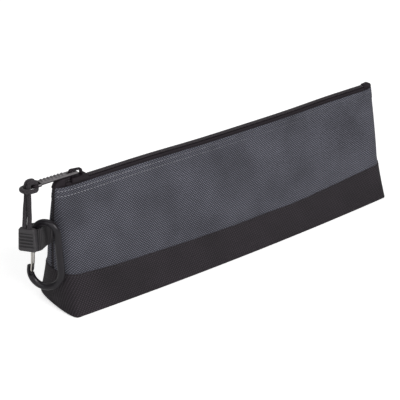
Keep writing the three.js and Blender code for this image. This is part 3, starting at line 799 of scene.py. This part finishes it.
# Topstitching: two rows of light grey thread hold the hem and the tape along the mouth.
# A row of dark thread holds the boot's folded edge.
STITCH_PITCH = 0.0031
STITCH_LONG = 0.0021
STITCH_THICK = 0.00050
HEM_ROWS = (0.0030, 0.0070)
BOOT_ROW = 0.0016
THREAD_LIFT = 0.0001
FADE_FROM = -0.13
FADE_TO = 0.03


def repeat_along(obj, count, step):
    """Repeats the piece along x, when its modifiers are next applied."""
    repeat = obj.modifiers.new("repeat", "ARRAY")
    repeat.count = count
    repeat.use_relative_offset = False
    repeat.use_constant_offset = True
    repeat.constant_offset_displace = (step, 0, 0)


def stitch_row(name, places):
    """One stitch, repeated along a line on the cloth."""
    line = bpy.data.curves.new(f"{name}_line", "CURVE")
    line.dimensions = "3D"
    spline = line.splines.new("POLY")
    spline.points.add(len(places) - 1)
    for point, place in zip(spline.points, places):
        point.co = (*place, 1)
    guide = bpy.data.objects.new(f"{name}_line", line)
    bpy.context.scene.collection.objects.link(guide)
    length = lengths_along(places)[-1]
    bpy.ops.mesh.primitive_uv_sphere_add(
        segments=6, ring_count=5, radius=0.5, location=(STITCH_PITCH / 2, 0, 0),
        rotation=(0, math.pi / 2, 0),
    )
    stitch = new_piece(name)
    stitch.scale = (STITCH_THICK, STITCH_THICK, STITCH_LONG)
    settle(stitch)
    count = int(length / STITCH_PITCH)
    repeat_along(stitch, count, length / count)
    follow = stitch.modifiers.new("follow", "CURVE")
    follow.object = guide
    apply_modifiers(stitch)
    bpy.data.objects.remove(guide)
    bpy.ops.object.shade_smooth()
    return stitch


def thread_material(name, colour, fading_colour):
    """Twisted thread, paler at the bag's left end and duller towards its right end."""
    material = new_material(name)
    place = node(material, "ShaderNodeTexCoord").outputs["Object"]
    strands = node(material, "ShaderNodeTexWave", {
        "Vector": place, "Scale": 900.0, "Distortion": 1.0,
    }, bands_direction="DIAGONAL")
    axes = node(material, "ShaderNodeSeparateXYZ", {0: place})
    # The thread's tone darkens from the bag's left end towards its right end, and varies in patches.
    fade = node(material, "ShaderNodeMapRange", {0: axes.outputs[0], 1: FADE_FROM, 2: FADE_TO})
    patches = noise(material, place, 260.0, 2.0)
    dull = maths(material, "ADD", fade.outputs[0], maths(material, "SUBTRACT", patches, 0.5))
    tone = blend_colours(material, dull, colour, fading_colour)
    finish_material(material, tone, strands.outputs[1], 0.4, 0.0001, 0.6)
    return material


grey_thread = thread_material("grey_thread", (0.38, 0.38, 0.41), (0.13, 0.13, 0.15))
black_thread = thread_material("black_thread", (0.02, 0.019, 0.02), (0.012, 0.011, 0.012))
for front, label in ((-1, "front"), (1, "rear")):
    outward = Vector((0, front, 0.2)).normalized() * THREAD_LIFT
    for row, below in enumerate(HEM_ROWS):
        places = []
        for i in range(2, WALL_COLUMNS - 1):
            foot = seam_height(wall_surface(i, 1, front).x) - TUCK
            rise = (PANEL_TOP - below - foot) / (PANEL_TOP - foot)
            places.append(wall_surface(i, rise, front) + outward)
        stitches = stitch_row(f"{label}_hem_stitches_{row + 1}", places)
        stitches.data.materials.append(grey_thread)
        for half in halves(stitches):
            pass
    places = []
    for i in range(4, BOOT_COLUMNS - 3):
        x = wall_point(i, BOOT_COLUMNS, SEAM_LOW, 0, front).x
        place = slacken(wall_point(i, BOOT_COLUMNS, seam_height(x) - BOOT_ROW, 0, front), front)
        places.append(twisted(place) + outward * 0.5)
    stitches = stitch_row(f"{label}_boot_stitches", places)
    stitches.data.materials.append(black_thread)
    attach(stitches, "bag")


# Side bindings: black tape sewn over the turned-in edges of both walls, down each end of the
# bag. It shows as a narrow dark strip between the walls, and its black also paints the shade along the
# side seam.
BINDING_LOW = 0.036
BINDING_HALF = 0.0017
BINDING_BULGE = 0.0009
BINDING_THICK = 0.0009
BINDING_INSET = 0.0006
BINDING_LEVELS = 24
BINDING_COLUMNS = 8
for side, label in ((-1, "left"), (1, "right")):
    rows = []
    for j in range(BINDING_LEVELS + 1):
        z = mix(BINDING_LOW, PANEL_TOP, j / BINDING_LEVELS)
        edge = half_length(z) - BINDING_INSET - BINDING_BULGE
        row = []
        for k in range(BINDING_COLUMNS + 1):
            turn = math.pi * (k / BINDING_COLUMNS - 0.5)
            x = edge + BINDING_BULGE * math.cos(turn)
            row.append(leaned(Vector((side * x, side * BINDING_HALF * math.sin(turn), z))))
        rows.append(row)
    strip = cloth_from_rows(f"{label}_side_seam", rows, False)
    edit(strip)
    bpy.ops.mesh.normals_make_consistent(inside=False)
    end_edit()
    outwards = sum(face.normal.x * face.area for face in strip.data.polygons) * side
    if outwards < 0:
        strip.data.flip_normals()
    solidify(strip, BINDING_THICK)
    smooth(strip, 50)
    # The binding's black is partly its own colour and partly painted shade along the seam.
    strip.data.materials.append(black_weave)
    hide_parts(f"{label}_side_binding")
    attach(strip, "bag")


# Zip tapes: black woven polyester, sewn inside the hem of each wall.
# Each rises from the hem and turns in under its half of the coil.
TAPE_THICK = 0.0006
TAPE_HALF_LONG = 0.1695
TAPE_PROFILE = (
    (5.1, 96.5), (4.3, 99.7), (3.55, 102.7), (3.0, 104.7), (2.8, 105.5), (2.62, 106.3),
    (2.35, 106.95), (1.9, 107.3), (1.4, 107.4), (0.75, 107.4),
)
TAPE_COLUMNS = 160
TAPE_RIB = 0.0006
TAPE_ROW = 0.0008


def waves(material, along, pitch):
    return maths(material, "SINE", maths(material, "MULTIPLY", along, 2 * math.pi / pitch))


def tape_material():
    material = new_material("zip_tape_weave")
    along, up = directions(material, uv_place(material, "weave"))
    ribs = maths(material, "ADD", waves(material, up, TAPE_RIB), waves(material, along, TAPE_ROW))
    height = maths(material, "MULTIPLY_ADD", ribs, 0.25, 0.5)
    # Darker in the dips between ribs and lighter on their crowns: painted shade in the dips.
    colour = blend_colours(material, height, (0.010, 0.007, 0.010), (0.030, 0.023, 0.029))
    finish_material(material, colour, height, 0.35, 0.00015, 0.78, Specular_IOR_Level=0.3)
    return material


tape_weave = tape_material()
for front, label in ((-1, "front"), (1, "rear")):
    rows = []
    for y, z in TAPE_PROFILE:
        rows.append([
            leaned(Vector((
                mix(-TAPE_HALF_LONG, TAPE_HALF_LONG, i / TAPE_COLUMNS), front * y * 0.001, z * 0.001,
            )))
            for i in range(TAPE_COLUMNS + 1)
        ])
    tape = cloth_from_rows(f"{label}_zip_tape", rows, front > 0)
    solidify(tape, TAPE_THICK)
    tape.data.materials.append(tape_weave)
    for half in halves(tape):
        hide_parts(f"{label}_tape")
        if front < 0:
            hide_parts(f"{'left' if half.name.endswith('left') else 'right'}_tape_end")


# Coil: a nylon filament that lies in small slanting loops on the edge of each tape.
# The loops of the two sides hook into each other when the zip is shut, except at the two
# places where the slider's divider stops and keeps them apart.
COIL_PITCH = 0.0017
COIL_BASE = 0.1077
COIL_TOP = 0.1095
LOOP_THICK = 0.0010
LOOP_LONG = 0.0030
LOOP_OUT = 0.00105
LOOP_SLANT = math.radians(24)
FILLER_RADIUS = 0.0006
FILLER_OUT = 0.0012
FILLER_UP = 0.0008
FILLER_STEPS = 90
SLIDER_X = -0.1569
SLIDER_TRAVEL = 0.3138
DIVIDER_BACK = 0.007
DIVIDER_FRONT = 0.003
COIL_PARTING = 0.0004


def beside_divider(x):
    """Whether x lies where the divider stands with the slider at one end of the zip."""
    for place in (SLIDER_X, SLIDER_X + SLIDER_TRAVEL):
        if place - DIVIDER_BACK - COIL_PARTING < x < place - DIVIDER_FRONT + COIL_PARTING:
            return True
    return False


nylon = grained_material(
    "nylon_coil", grain=(700.0, 2.0), patches=(700.0, 2.0), dark=(0.030, 0.024, 0.029),
    light=(0.075, 0.066, 0.073), bump=(0.15, 0.0001), roughness=0.5, Specular_IOR_Level=0.4,
)
for front, label in ((-1, "front"), (1, "rear")):
    bpy.ops.mesh.primitive_uv_sphere_add(segments=8, ring_count=6, radius=0.5)
    coil = new_piece(f"{label}_zip_coil")
    coil.scale = (LOOP_THICK, LOOP_LONG, COIL_TOP - COIL_BASE)
    settle(coil)
    lean = Matrix.Rotation(front * LOOP_SLANT, 4, "Z")
    start = -TAPE_HALF_LONG + COIL_PITCH * (0.75 + 0.25 * front)
    middle = Vector((start, front * LOOP_OUT, (COIL_BASE + COIL_TOP) / 2))
    settle(coil, Matrix.Translation(middle) @ lean)
    repeat_along(coil, int(2 * TAPE_HALF_LONG / COIL_PITCH), COIL_PITCH)
    apply_modifiers(coil)
    for vertex in coil.data.vertices:
        if beside_divider(vertex.co.x):
            vertex.co.y = front * max(front * vertex.co.y, COIL_PARTING)
        vertex.co = leaned(vertex.co)
    filler_path = []
    for k in range(FILLER_STEPS + 1):
        x = mix(-TAPE_HALF_LONG, TAPE_HALF_LONG, k / FILLER_STEPS)
        filler_path.append(leaned(Vector((x, front * FILLER_OUT, COIL_BASE + FILLER_UP))))
    filler = bend_tube(f"{label}_filler_cord", filler_path, FILLER_RADIUS, 8)
    filler.data.materials.append(nylon)
    for half in halves(filler):
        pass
    coil.data.materials.append(nylon)
    for half in halves(coil):
        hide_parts(f"{label}_coil")
        if front < 0:
            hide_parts(f"{'left' if half.name.endswith('left') else 'right'}_coil_end")


# Zip ends: the tapes are folded over together at each end and sewn down over the side seam.
# Each is rounded at its outer corner, and the left one's fold laps back over the coil's end.
TAB_INNER = 0.1698
TAB_OUTER = TAB_INNER + 0.005
TAB_LOW = PANEL_TOP - 0.0012
END_TAB_WIDE = 0.0056
END_TAB_FALL = 0.35
LAP = 0.0046
LAP_ROOM = 0.0003
LEFT_TAB = (0.0112, 0.0026, 0.0050, 0.0030)
RIGHT_TAB = (0.0096, 0.0005, 0.0034, 0)


def block(name, low, high):
    """A box between two corners."""
    low, high = Vector(low), Vector(high)
    bpy.ops.mesh.primitive_cube_add(size=1, location=(low + high) / 2)
    made = new_piece(name)
    made.scale = high - low
    settle(made)
    return made


def carve(obj, cutter):
    modifier = obj.modifiers.new("carve", "BOOLEAN")
    modifier.object = cutter
    modifier.operation = "DIFFERENCE"
    modifier.solver = "EXACT"
    apply_modifiers(obj)
    bpy.data.objects.remove(cutter)


for side, label, sizes in ((-1, "left", LEFT_TAB), (1, "right", RIGHT_TAB)):
    tab_long, tab_rise, corner, slant = sizes
    half_wide = END_TAB_WIDE / 2
    near = side * (TAB_INNER - (LAP if side < 0 else 0))
    far = side * (TAB_INNER + tab_long)
    high = BAG_TALL + tab_rise
    end_tab = block(
        f"{label}_zip_end", (min(near, far), -half_wide, TAB_LOW), (max(near, far), half_wide, high),
    )
    for vertex in end_tab.data.vertices:
        if vertex.co.z > high - 0.0001 and abs(vertex.co.x) > TAB_OUTER:
            vertex.co.z -= tab_rise * END_TAB_FALL
            vertex.co.x -= side * slant
    round_edges(
        end_tab,
        lambda a, b: abs(a.y - b.y) > half_wide and a.z > BAG_TALL and abs(a.x) > TAB_OUTER,
        corner, 8,
    )
    if side < 0:
        carve(end_tab, block(
            "coil_under_lap", (-TAB_INNER, -1, 0), (0, 1, BAG_TALL + LAP_ROOM),
        ))
    bevel(end_tab, 0.0009, 4, 50)
    smooth(end_tab, 50)
    for vertex in end_tab.data.vertices:
        vertex.co = leaned(vertex.co)
    weave = end_tab.data.uv_layers.new(name="weave")
    for loop in end_tab.data.loops:
        place = end_tab.data.vertices[loop.vertex_index].co
        weave.data[loop.index].uv = (place.x + place.y, place.z + place.y)
    end_tab.data.materials.append(tape_weave)
    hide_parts(f"{label}_end_tab")
    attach(end_tab, "bag")


# Slider: a black enamelled zinc body that straddles the coil, with a divider between the
# two halves of the zip, a lower wing under the tapes and an arch for the pull.
SLIDER_DROP = -MOUTH_LEAN * SLIDER_X / MOUTH_LONG
SLIDER_LONG = 0.016
SLIDER_WIDE = 0.0088
SLIDER_TAIL = 0.0082
SLIDER_CORNER = 0.0012
PLATE_LOW = 0.1098 - SLIDER_DROP
PLATE_HIGH = 0.1110 - SLIDER_DROP
FLANGE_LOW = 0.1070 - SLIDER_DROP
FLANGE_INNER = 0.0028
NOSE_FALL = 0.0005
DIVIDER_HALF = 0.0003
WING_HIGH = FLANGE_LOW - 0.0005
WING_THICK = 0.0012
WING_HALF = 0.0016
WING_FRONT = 0.006
ARCH_LONG = 0.0126
ARCH_TALL = 0.006
ARCH_WIDE = 0.0023
ARCH_LEG = 0.0022
ARCH_BAR = 0.0017
ARCH_CORNER = 0.0026
OPENING_CORNER = 0.0018
ARCH_SLOPE = 0.11
ARCH_X = SLIDER_X - 0.002

enamel = grained_material(
    "black_enamel", grain=(900.0, 3.0), patches=(240.0, 4.0), dark=(0.009, 0.0045, 0.008),
    light=(0.014, 0.009, 0.013), bump=(0.12, 0.0001), roughness=0.48, Specular_IOR_Level=0.3,
)
slider = block(
    "slider_shell",
    (SLIDER_X - SLIDER_LONG / 2, -SLIDER_WIDE / 2, FLANGE_LOW),
    (SLIDER_X + SLIDER_LONG / 2, SLIDER_WIDE / 2, PLATE_HIGH),
)
edit(slider)
cut_at((SLIDER_X, 0, 0), (1, 0, 0))
select_only(slider, "FACE", lambda face: face.normal.x > 0.9)
bpy.ops.transform.resize(value=(1, SLIDER_TAIL / SLIDER_WIDE, 1))
end_edit()
round_edges(
    slider,
    lambda a, b: abs(a.x - b.x) + abs(a.y - b.y) < 1e-6 and a.x < SLIDER_X - SLIDER_LONG * 0.4,
    SLIDER_CORNER, 5,
)
carve(slider, block(
    "coil_channel",
    (SLIDER_X - SLIDER_LONG, -FLANGE_INNER, FLANGE_LOW - 0.001),
    (SLIDER_X + SLIDER_LONG, FLANGE_INNER, PLATE_LOW),
))
for vertex in slider.data.vertices:
    if vertex.co.z > PLATE_HIGH - 0.0001:
        vertex.co.z -= NOSE_FALL * max((vertex.co.x - SLIDER_X) / (SLIDER_LONG / 2), 0)
bevel(slider, 0.0003, 3, 35)
divider = block(
    "slider_divider",
    (SLIDER_X - DIVIDER_BACK, -DIVIDER_HALF, WING_HIGH - 0.0001),
    (SLIDER_X - DIVIDER_FRONT, DIVIDER_HALF, PLATE_LOW + 0.0002),
)
lower_wing = block(
    "slider_wing",
    (SLIDER_X - DIVIDER_BACK, -WING_HALF, WING_HIGH - WING_THICK),
    (SLIDER_X + WING_FRONT, WING_HALF, WING_HIGH),
)
bevel(lower_wing, 0.0004, 2, 35)
for part in (slider, divider, lower_wing):
    smooth(part, 40)
    part.data.materials.append(enamel)
    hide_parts("slider_body")
    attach(part, "slider")

arch = block(
    "slider_arch",
    (ARCH_X - ARCH_LONG / 2, -ARCH_WIDE / 2, PLATE_HIGH - 0.0004),
    (ARCH_X + ARCH_LONG / 2, ARCH_WIDE / 2, PLATE_HIGH + ARCH_TALL),
)
opening = block(
    "arch_opening",
    (ARCH_X - ARCH_LONG / 2 + ARCH_LEG, -ARCH_WIDE, PLATE_HIGH - 0.002),
    (ARCH_X + ARCH_LONG / 2 - ARCH_LEG, ARCH_WIDE, PLATE_HIGH + ARCH_TALL - ARCH_BAR),
)
for shape, radius in ((arch, ARCH_CORNER), (opening, OPENING_CORNER)):
    round_edges(
        shape, lambda a, b: abs(a.y - b.y) > ARCH_WIDE * 0.5 and a.z > PLATE_HIGH + 0.001, radius, 8,
    )
carve(arch, opening)
for vertex in arch.data.vertices:
    if vertex.co.z > PLATE_HIGH + 0.001:
        vertex.co.z += ARCH_SLOPE * (ARCH_X - vertex.co.x)
bevel(arch, 0.0004, 3, 50)
smooth(arch, 40)
arch.data.materials.append(enamel)
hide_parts("slider_bail")
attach(arch, "slider")


# Pull tab: a grey plated casting with finger ridges across it, a slot that turns on the
# slider's arch and a wide eye for the cord.
TAB_LONG = 0.0418
TAB_TIP = 0.00075
TAB_WIDE = 0.0062
TAB_THICK = 0.0024
TAB_HEAD = 0.0098
HEAD_TAPER = 0.8
HEAD_NECK = 0.0015
HEAD_EDGE = 0.0012
TAB_EYE_LONG = 0.0052
TAB_EYE_WIDE = 0.008
TAB_BAR = 0.002
TAB_Z = PLATE_HIGH + 0.0016 + TAB_THICK / 2
SLOT_LONG = 0.0082
SLOT_WIDE = 0.0028
THROUGH = 0.2
RIDGE_PITCH = 0.0032
RIDGE_TALL = 0.0008
RIDGE_INSET = 0.0004
UNDERSIDE_SHADE_TALL = 0.0011
HEAD_BARE = 0.0042

plating = grained_material(
    "grey_plating", grain=(700.0, 4.0), patches=(150.0, 3.0), dark=(0.165, 0.155, 0.162),
    light=(0.285, 0.27, 0.278), bump=(0.2, 0.0001), roughness=0.38, Metallic=0.5,
)
tab_end = ARCH_X - TAB_LONG
head_start = tab_end + TAB_BAR + TAB_EYE_LONG + HEAD_NECK
tab = block(
    "pull_bar",
    (tab_end, -TAB_WIDE / 2, TAB_Z - TAB_THICK / 2),
    (ARCH_X + TAB_TIP, TAB_WIDE / 2, TAB_Z + TAB_THICK / 2),
)
edit(tab)
for x in (head_start, head_start - HEAD_EDGE, tab_end + HEAD_EDGE, head_start - HEAD_BARE):
    cut_at((x, 0, 0), (1, 0, 0))
cut_at((0, 0, TAB_Z - TAB_THICK / 2 + UNDERSIDE_SHADE_TALL), (0, 0, 1))
bpy.ops.mesh.select_all(action="DESELECT")
bm = bmesh.from_edit_mesh(tab.data)
for vertex in bm.verts:
    if vertex.co.x < head_start - HEAD_EDGE + 0.0001:
        vertex.co.y *= TAB_HEAD / TAB_WIDE
    if vertex.co.x < tab_end + 0.0001:
        vertex.co.y *= HEAD_TAPER
bmesh.update_edit_mesh(tab.data)
end_edit()
carve(tab, block(
    "arch_slot",
    (ARCH_X - TAB_TIP - SLOT_LONG, -SLOT_WIDE / 2, 0), (ARCH_X - TAB_TIP, SLOT_WIDE / 2, THROUGH),
))
carve(tab, block(
    "cord_eye",
    (tab_end + TAB_BAR, -TAB_EYE_WIDE / 2, 0),
    (tab_end + TAB_BAR + TAB_EYE_LONG, TAB_EYE_WIDE / 2, THROUGH),
))
bevel(tab, 0.0004, 3, 35)
smooth(tab, 40)

ridged_from = ARCH_X - TAB_TIP - SLOT_LONG - HEAD_EDGE
bpy.ops.mesh.primitive_cylinder_add(
    vertices=24, radius=0.5, depth=1, rotation=(math.pi / 2, 0, 0),
)
ridges = new_piece("finger_ridges")
settle(ridges)
ridges.scale = (RIDGE_PITCH * 0.86, TAB_WIDE - RIDGE_INSET * 2, RIDGE_TALL * 4)
settle(ridges)
settle(ridges, Matrix.Translation((
    ridged_from - RIDGE_PITCH / 2, 0, TAB_Z + TAB_THICK / 2 - RIDGE_TALL,
)))
repeat_along(ridges, int((ridged_from - head_start) / RIDGE_PITCH), -RIDGE_PITCH)
bevel(ridges, 0.0003, 2, 50)
smooth(ridges, 40)
for part in (tab, ridges):
    part.data.materials.append(plating)
    part.data.materials.append(enamel)
    # Faces of the tab's lower band take the black enamel as painted shade under its edge; faces of the
    # head end take the enamel too.
    for face in part.data.polygons:
        low = face.center.z < TAB_Z - TAB_THICK / 2 + UNDERSIDE_SHADE_TALL
        face.material_index = int(low or face.center.x < head_start - HEAD_BARE)
    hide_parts("pull_tab")
    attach(part, "pull_tab")


# Webbing loop: black ribbed webbing, doubled and sewn into the left side seam.
# It stands out of the seam as an open eye round the carabiner.
EYE_X = -0.1998927
EYE_RADIUS = 0.0055
WEBBING_LOW = 0.058
WEBBING_WIDE = 0.019
WEBBING_THICK = 0.0015
WEBBING_LEVELS = 10
WEBBING_TAIL = -0.1793
WEBBING_RIB = 0.0015
WEBBING_PICK = 0.0009
EYE_NECK = 0.005
EYE_GAP = 0.95
EYE_STEPS = 20


def webbing_material():
    material = new_material("ribbed_webbing")
    along, up = directions(material, uv_place(material, "weave"))
    rise = maths(material, "MULTIPLY_ADD", waves(material, along, WEBBING_RIB), 0.38, 0.5)
    pick = waves(material, up, WEBBING_PICK)
    height = maths(material, "ADD", rise, maths(material, "MULTIPLY", pick, 0.12))
    # Near-black in the dips between ribs and lighter on their crowns: painted shade in the grooves.
    colour = blend_colours(material, height, (0.002, 0.0015, 0.002), (0.062, 0.055, 0.062))
    finish_material(
        material, colour, height, 1.0, 0.0008, 0.7, Sheen_Weight=0.1, Sheen_Roughness=0.4,
    )
    return material


def webbing_path():
    """Out along one side, round the eye and back along the other, seen from above."""
    away = WEBBING_THICK / 2 + 0.00002
    neck = EYE_X + EYE_RADIUS + EYE_NECK
    reach = EYE_RADIUS + WEBBING_THICK / 2
    straight = (WEBBING_TAIL, mix(WEBBING_TAIL, neck, 0.6), neck + 0.0012)
    places = [Vector((x, away, 0)) for x in straight]
    for k in range(EYE_STEPS + 1):
        angle = mix(EYE_GAP, 2 * math.pi - EYE_GAP, k / EYE_STEPS)
        places.append(Vector((EYE_X + reach * math.cos(angle), reach * math.sin(angle), 0)))
    places += [Vector((x, -away, 0)) for x in reversed(straight)]
    return smooth_path(places, 4)


path = webbing_path()
rows = [
    [place + Vector((0, 0, WEBBING_LOW + WEBBING_WIDE * j / WEBBING_LEVELS)) for place in path]
    for j in range(WEBBING_LEVELS + 1)
]
webbing = cloth_from_rows("webbing", rows, False)
solidify(webbing, WEBBING_THICK, 0.0)
bevel(webbing, 0.0004, 3, 60)
smooth(webbing, 50)
webbing.data.materials.append(webbing_material())
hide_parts("webbing_loop")
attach(webbing, "bag")


# Carabiner: a bent and black anodised aluminium rod, whose nose and stub are flattened.
# It hangs in the webbing's eye. u runs from the gate to the spine.
ROD = 0.0058
HOOK_TALL = 0.0638
HOOK_ABOVE = 0.0077
HOOK_HIGH = WEBBING_LOW + WEBBING_WIDE + HOOK_ABOVE
HOOK_LOW = HOOK_HIGH - HOOK_TALL
TOP_ARC = 0.0098
LOW_ARC = 0.0134
HOOK_TURN = math.radians(-55)
PIVOT_Z = WEBBING_LOW + 0.0025
TOP_CENTRE = HOOK_HIGH - ROD / 2 - TOP_ARC
LOW_CENTRE = HOOK_LOW + ROD / 2 + LOW_ARC
FOOT_Z = LOW_CENTRE - 0.0006
NOSE_Z = FOOT_Z + 0.0046
FLARE = math.asin((LOW_ARC - TOP_ARC) / (TOP_CENTRE - LOW_CENTRE))
CROSSING_Z = WEBBING_LOW + WEBBING_WIDE * 0.5
TILT = math.tan(math.radians(3.2))
EYE_PLAY = 0.00085
CENTRE_U = TOP_ARC / math.cos(FLARE) + (TOP_CENTRE - CROSSING_Z) * math.tan(FLARE) - EYE_PLAY
TONGUE = 0.0022
WIRE = 0.0015
WIRE_ROOM = 0.0003
WIRE_APART = 0.0044
FOOT_IN = 0.0018
STUB_BELOW = 0.003
STUB_ABOVE = 0.0022
NOSE_BELOW = 0.003
hook_frame = Matrix.Translation((EYE_X, 0, 0)) @ Matrix.Rotation(HOOK_TURN, 4, "Z")


def tilted(u, z):
    """The carabiner hangs a little askew in the eye, with its foot towards the gate side."""
    return u + (z - CROSSING_Z) * TILT


def gate_side(z):
    upright = CENTRE_U - TOP_ARC / math.cos(FLARE) - (TOP_CENTRE - z) * math.tan(FLARE)
    return tilted(upright, z)


def arc(centre_z, radius, start, end, steps):
    places = []
    for k in range(steps + 1):
        angle = mix(start, end, k / steps)
        z = centre_z + radius * math.sin(angle)
        places.append(Vector((tilted(CENTRE_U + radius * math.cos(angle), z), 0, z)))
    return places


rod_path = [
    Vector((gate_side(NOSE_Z), 0, NOSE_Z)),
    *arc(LOW_CENTRE, LOW_ARC, math.pi - FLARE, 2 * math.pi + FLARE, 40),
    *arc(TOP_CENTRE, TOP_ARC, FLARE, math.pi - FLARE, 32),
    Vector((gate_side(PIVOT_Z - STUB_BELOW), 0, PIVOT_Z - STUB_BELOW)),
]
hook = bend_tube("carabiner_rod", rod_path, ROD / 2, 32)
for side in (-1, 1):
    faces = sorted((side * TONGUE / 2, side * ROD))
    carve(hook, block(
        "flat_of_rod",
        (-ROD, faces[0], FOOT_Z - NOSE_BELOW), (ROD, faces[1], PIVOT_Z + STUB_ABOVE),
    ))
foot_u = gate_side(FOOT_Z) + FOOT_IN
carve(hook, block(
    "nose_notch",
    (foot_u - WIRE / 2 - WIRE_ROOM, -ROD, FOOT_Z - WIRE / 2 - WIRE_ROOM),
    (foot_u + ROD, ROD, FOOT_Z + WIRE / 2 + WIRE_ROOM * 3),
))
bpy.ops.mesh.primitive_cylinder_add(
    vertices=20, radius=WIRE / 2 + WIRE_ROOM, depth=ROD * 2, rotation=(math.pi / 2, 0, 0),
    location=(gate_side(PIVOT_Z), 0, PIVOT_Z),
)
carve(hook, new_piece("wire_hole"))
bevel(hook, 0.00035, 3, 45)
smooth(hook, 40)
settle(hook, hook_frame)
hook.data.materials.append(grained_material(
    "black_anodising", grain=(1800.0, 3.0), patches=(120.0, 3.0), dark=(0.0118, 0.0103, 0.0135),
    light=(0.0215, 0.019, 0.0235), bump=(0.08, 0.0001), roughness=0.36, Metallic=0.35,
    Coat_Weight=0.1,
))
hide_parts("carabiner_frame")
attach(hook, "carabiner")


# Gate: one bright steel wire, bent double. Its ends turn in to the stub's hole, and its
# closed foot hooks into the nose.
def gate_leg(side):
    """One leg of the wire from the stub's hole down to the nose: u, across and up."""
    top_u = gate_side(PIVOT_Z)
    half = WIRE_APART / 2
    return [
        (top_u, side * 0.0003, PIVOT_Z),
        (top_u, side * (half - 0.0007), PIVOT_Z),
        (top_u, side * half, PIVOT_Z - 0.0008),
        (mix(top_u, foot_u, 0.2), side * half, PIVOT_Z - 0.006),
        (mix(top_u, foot_u, 0.55), side * half, FOOT_Z + 0.008),
        (foot_u, side * (half - 0.0001), FOOT_Z + 0.0024),
        (foot_u, side * (half - 0.0008), FOOT_Z + 0.0006),
    ]


wire_places = [Vector(p) for p in (*gate_leg(-1), (foot_u, 0, FOOT_Z), *reversed(gate_leg(1)))]
gate = bend_tube("gate_wire_bend", smooth_path(wire_places, 8), WIRE / 2, 16)
settle(gate, hook_frame)
gate.data.materials.append(grained_material(
    "bright_steel", grain=(500.0, 3.0), patches=(500.0, 3.0), dark=(0.50, 0.47, 0.43),
    light=(0.72, 0.69, 0.64), bump=(0.1, 0.0001), roughness=0.22, Metallic=1.0,
))
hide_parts("gate_wire")
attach(gate, "gate")
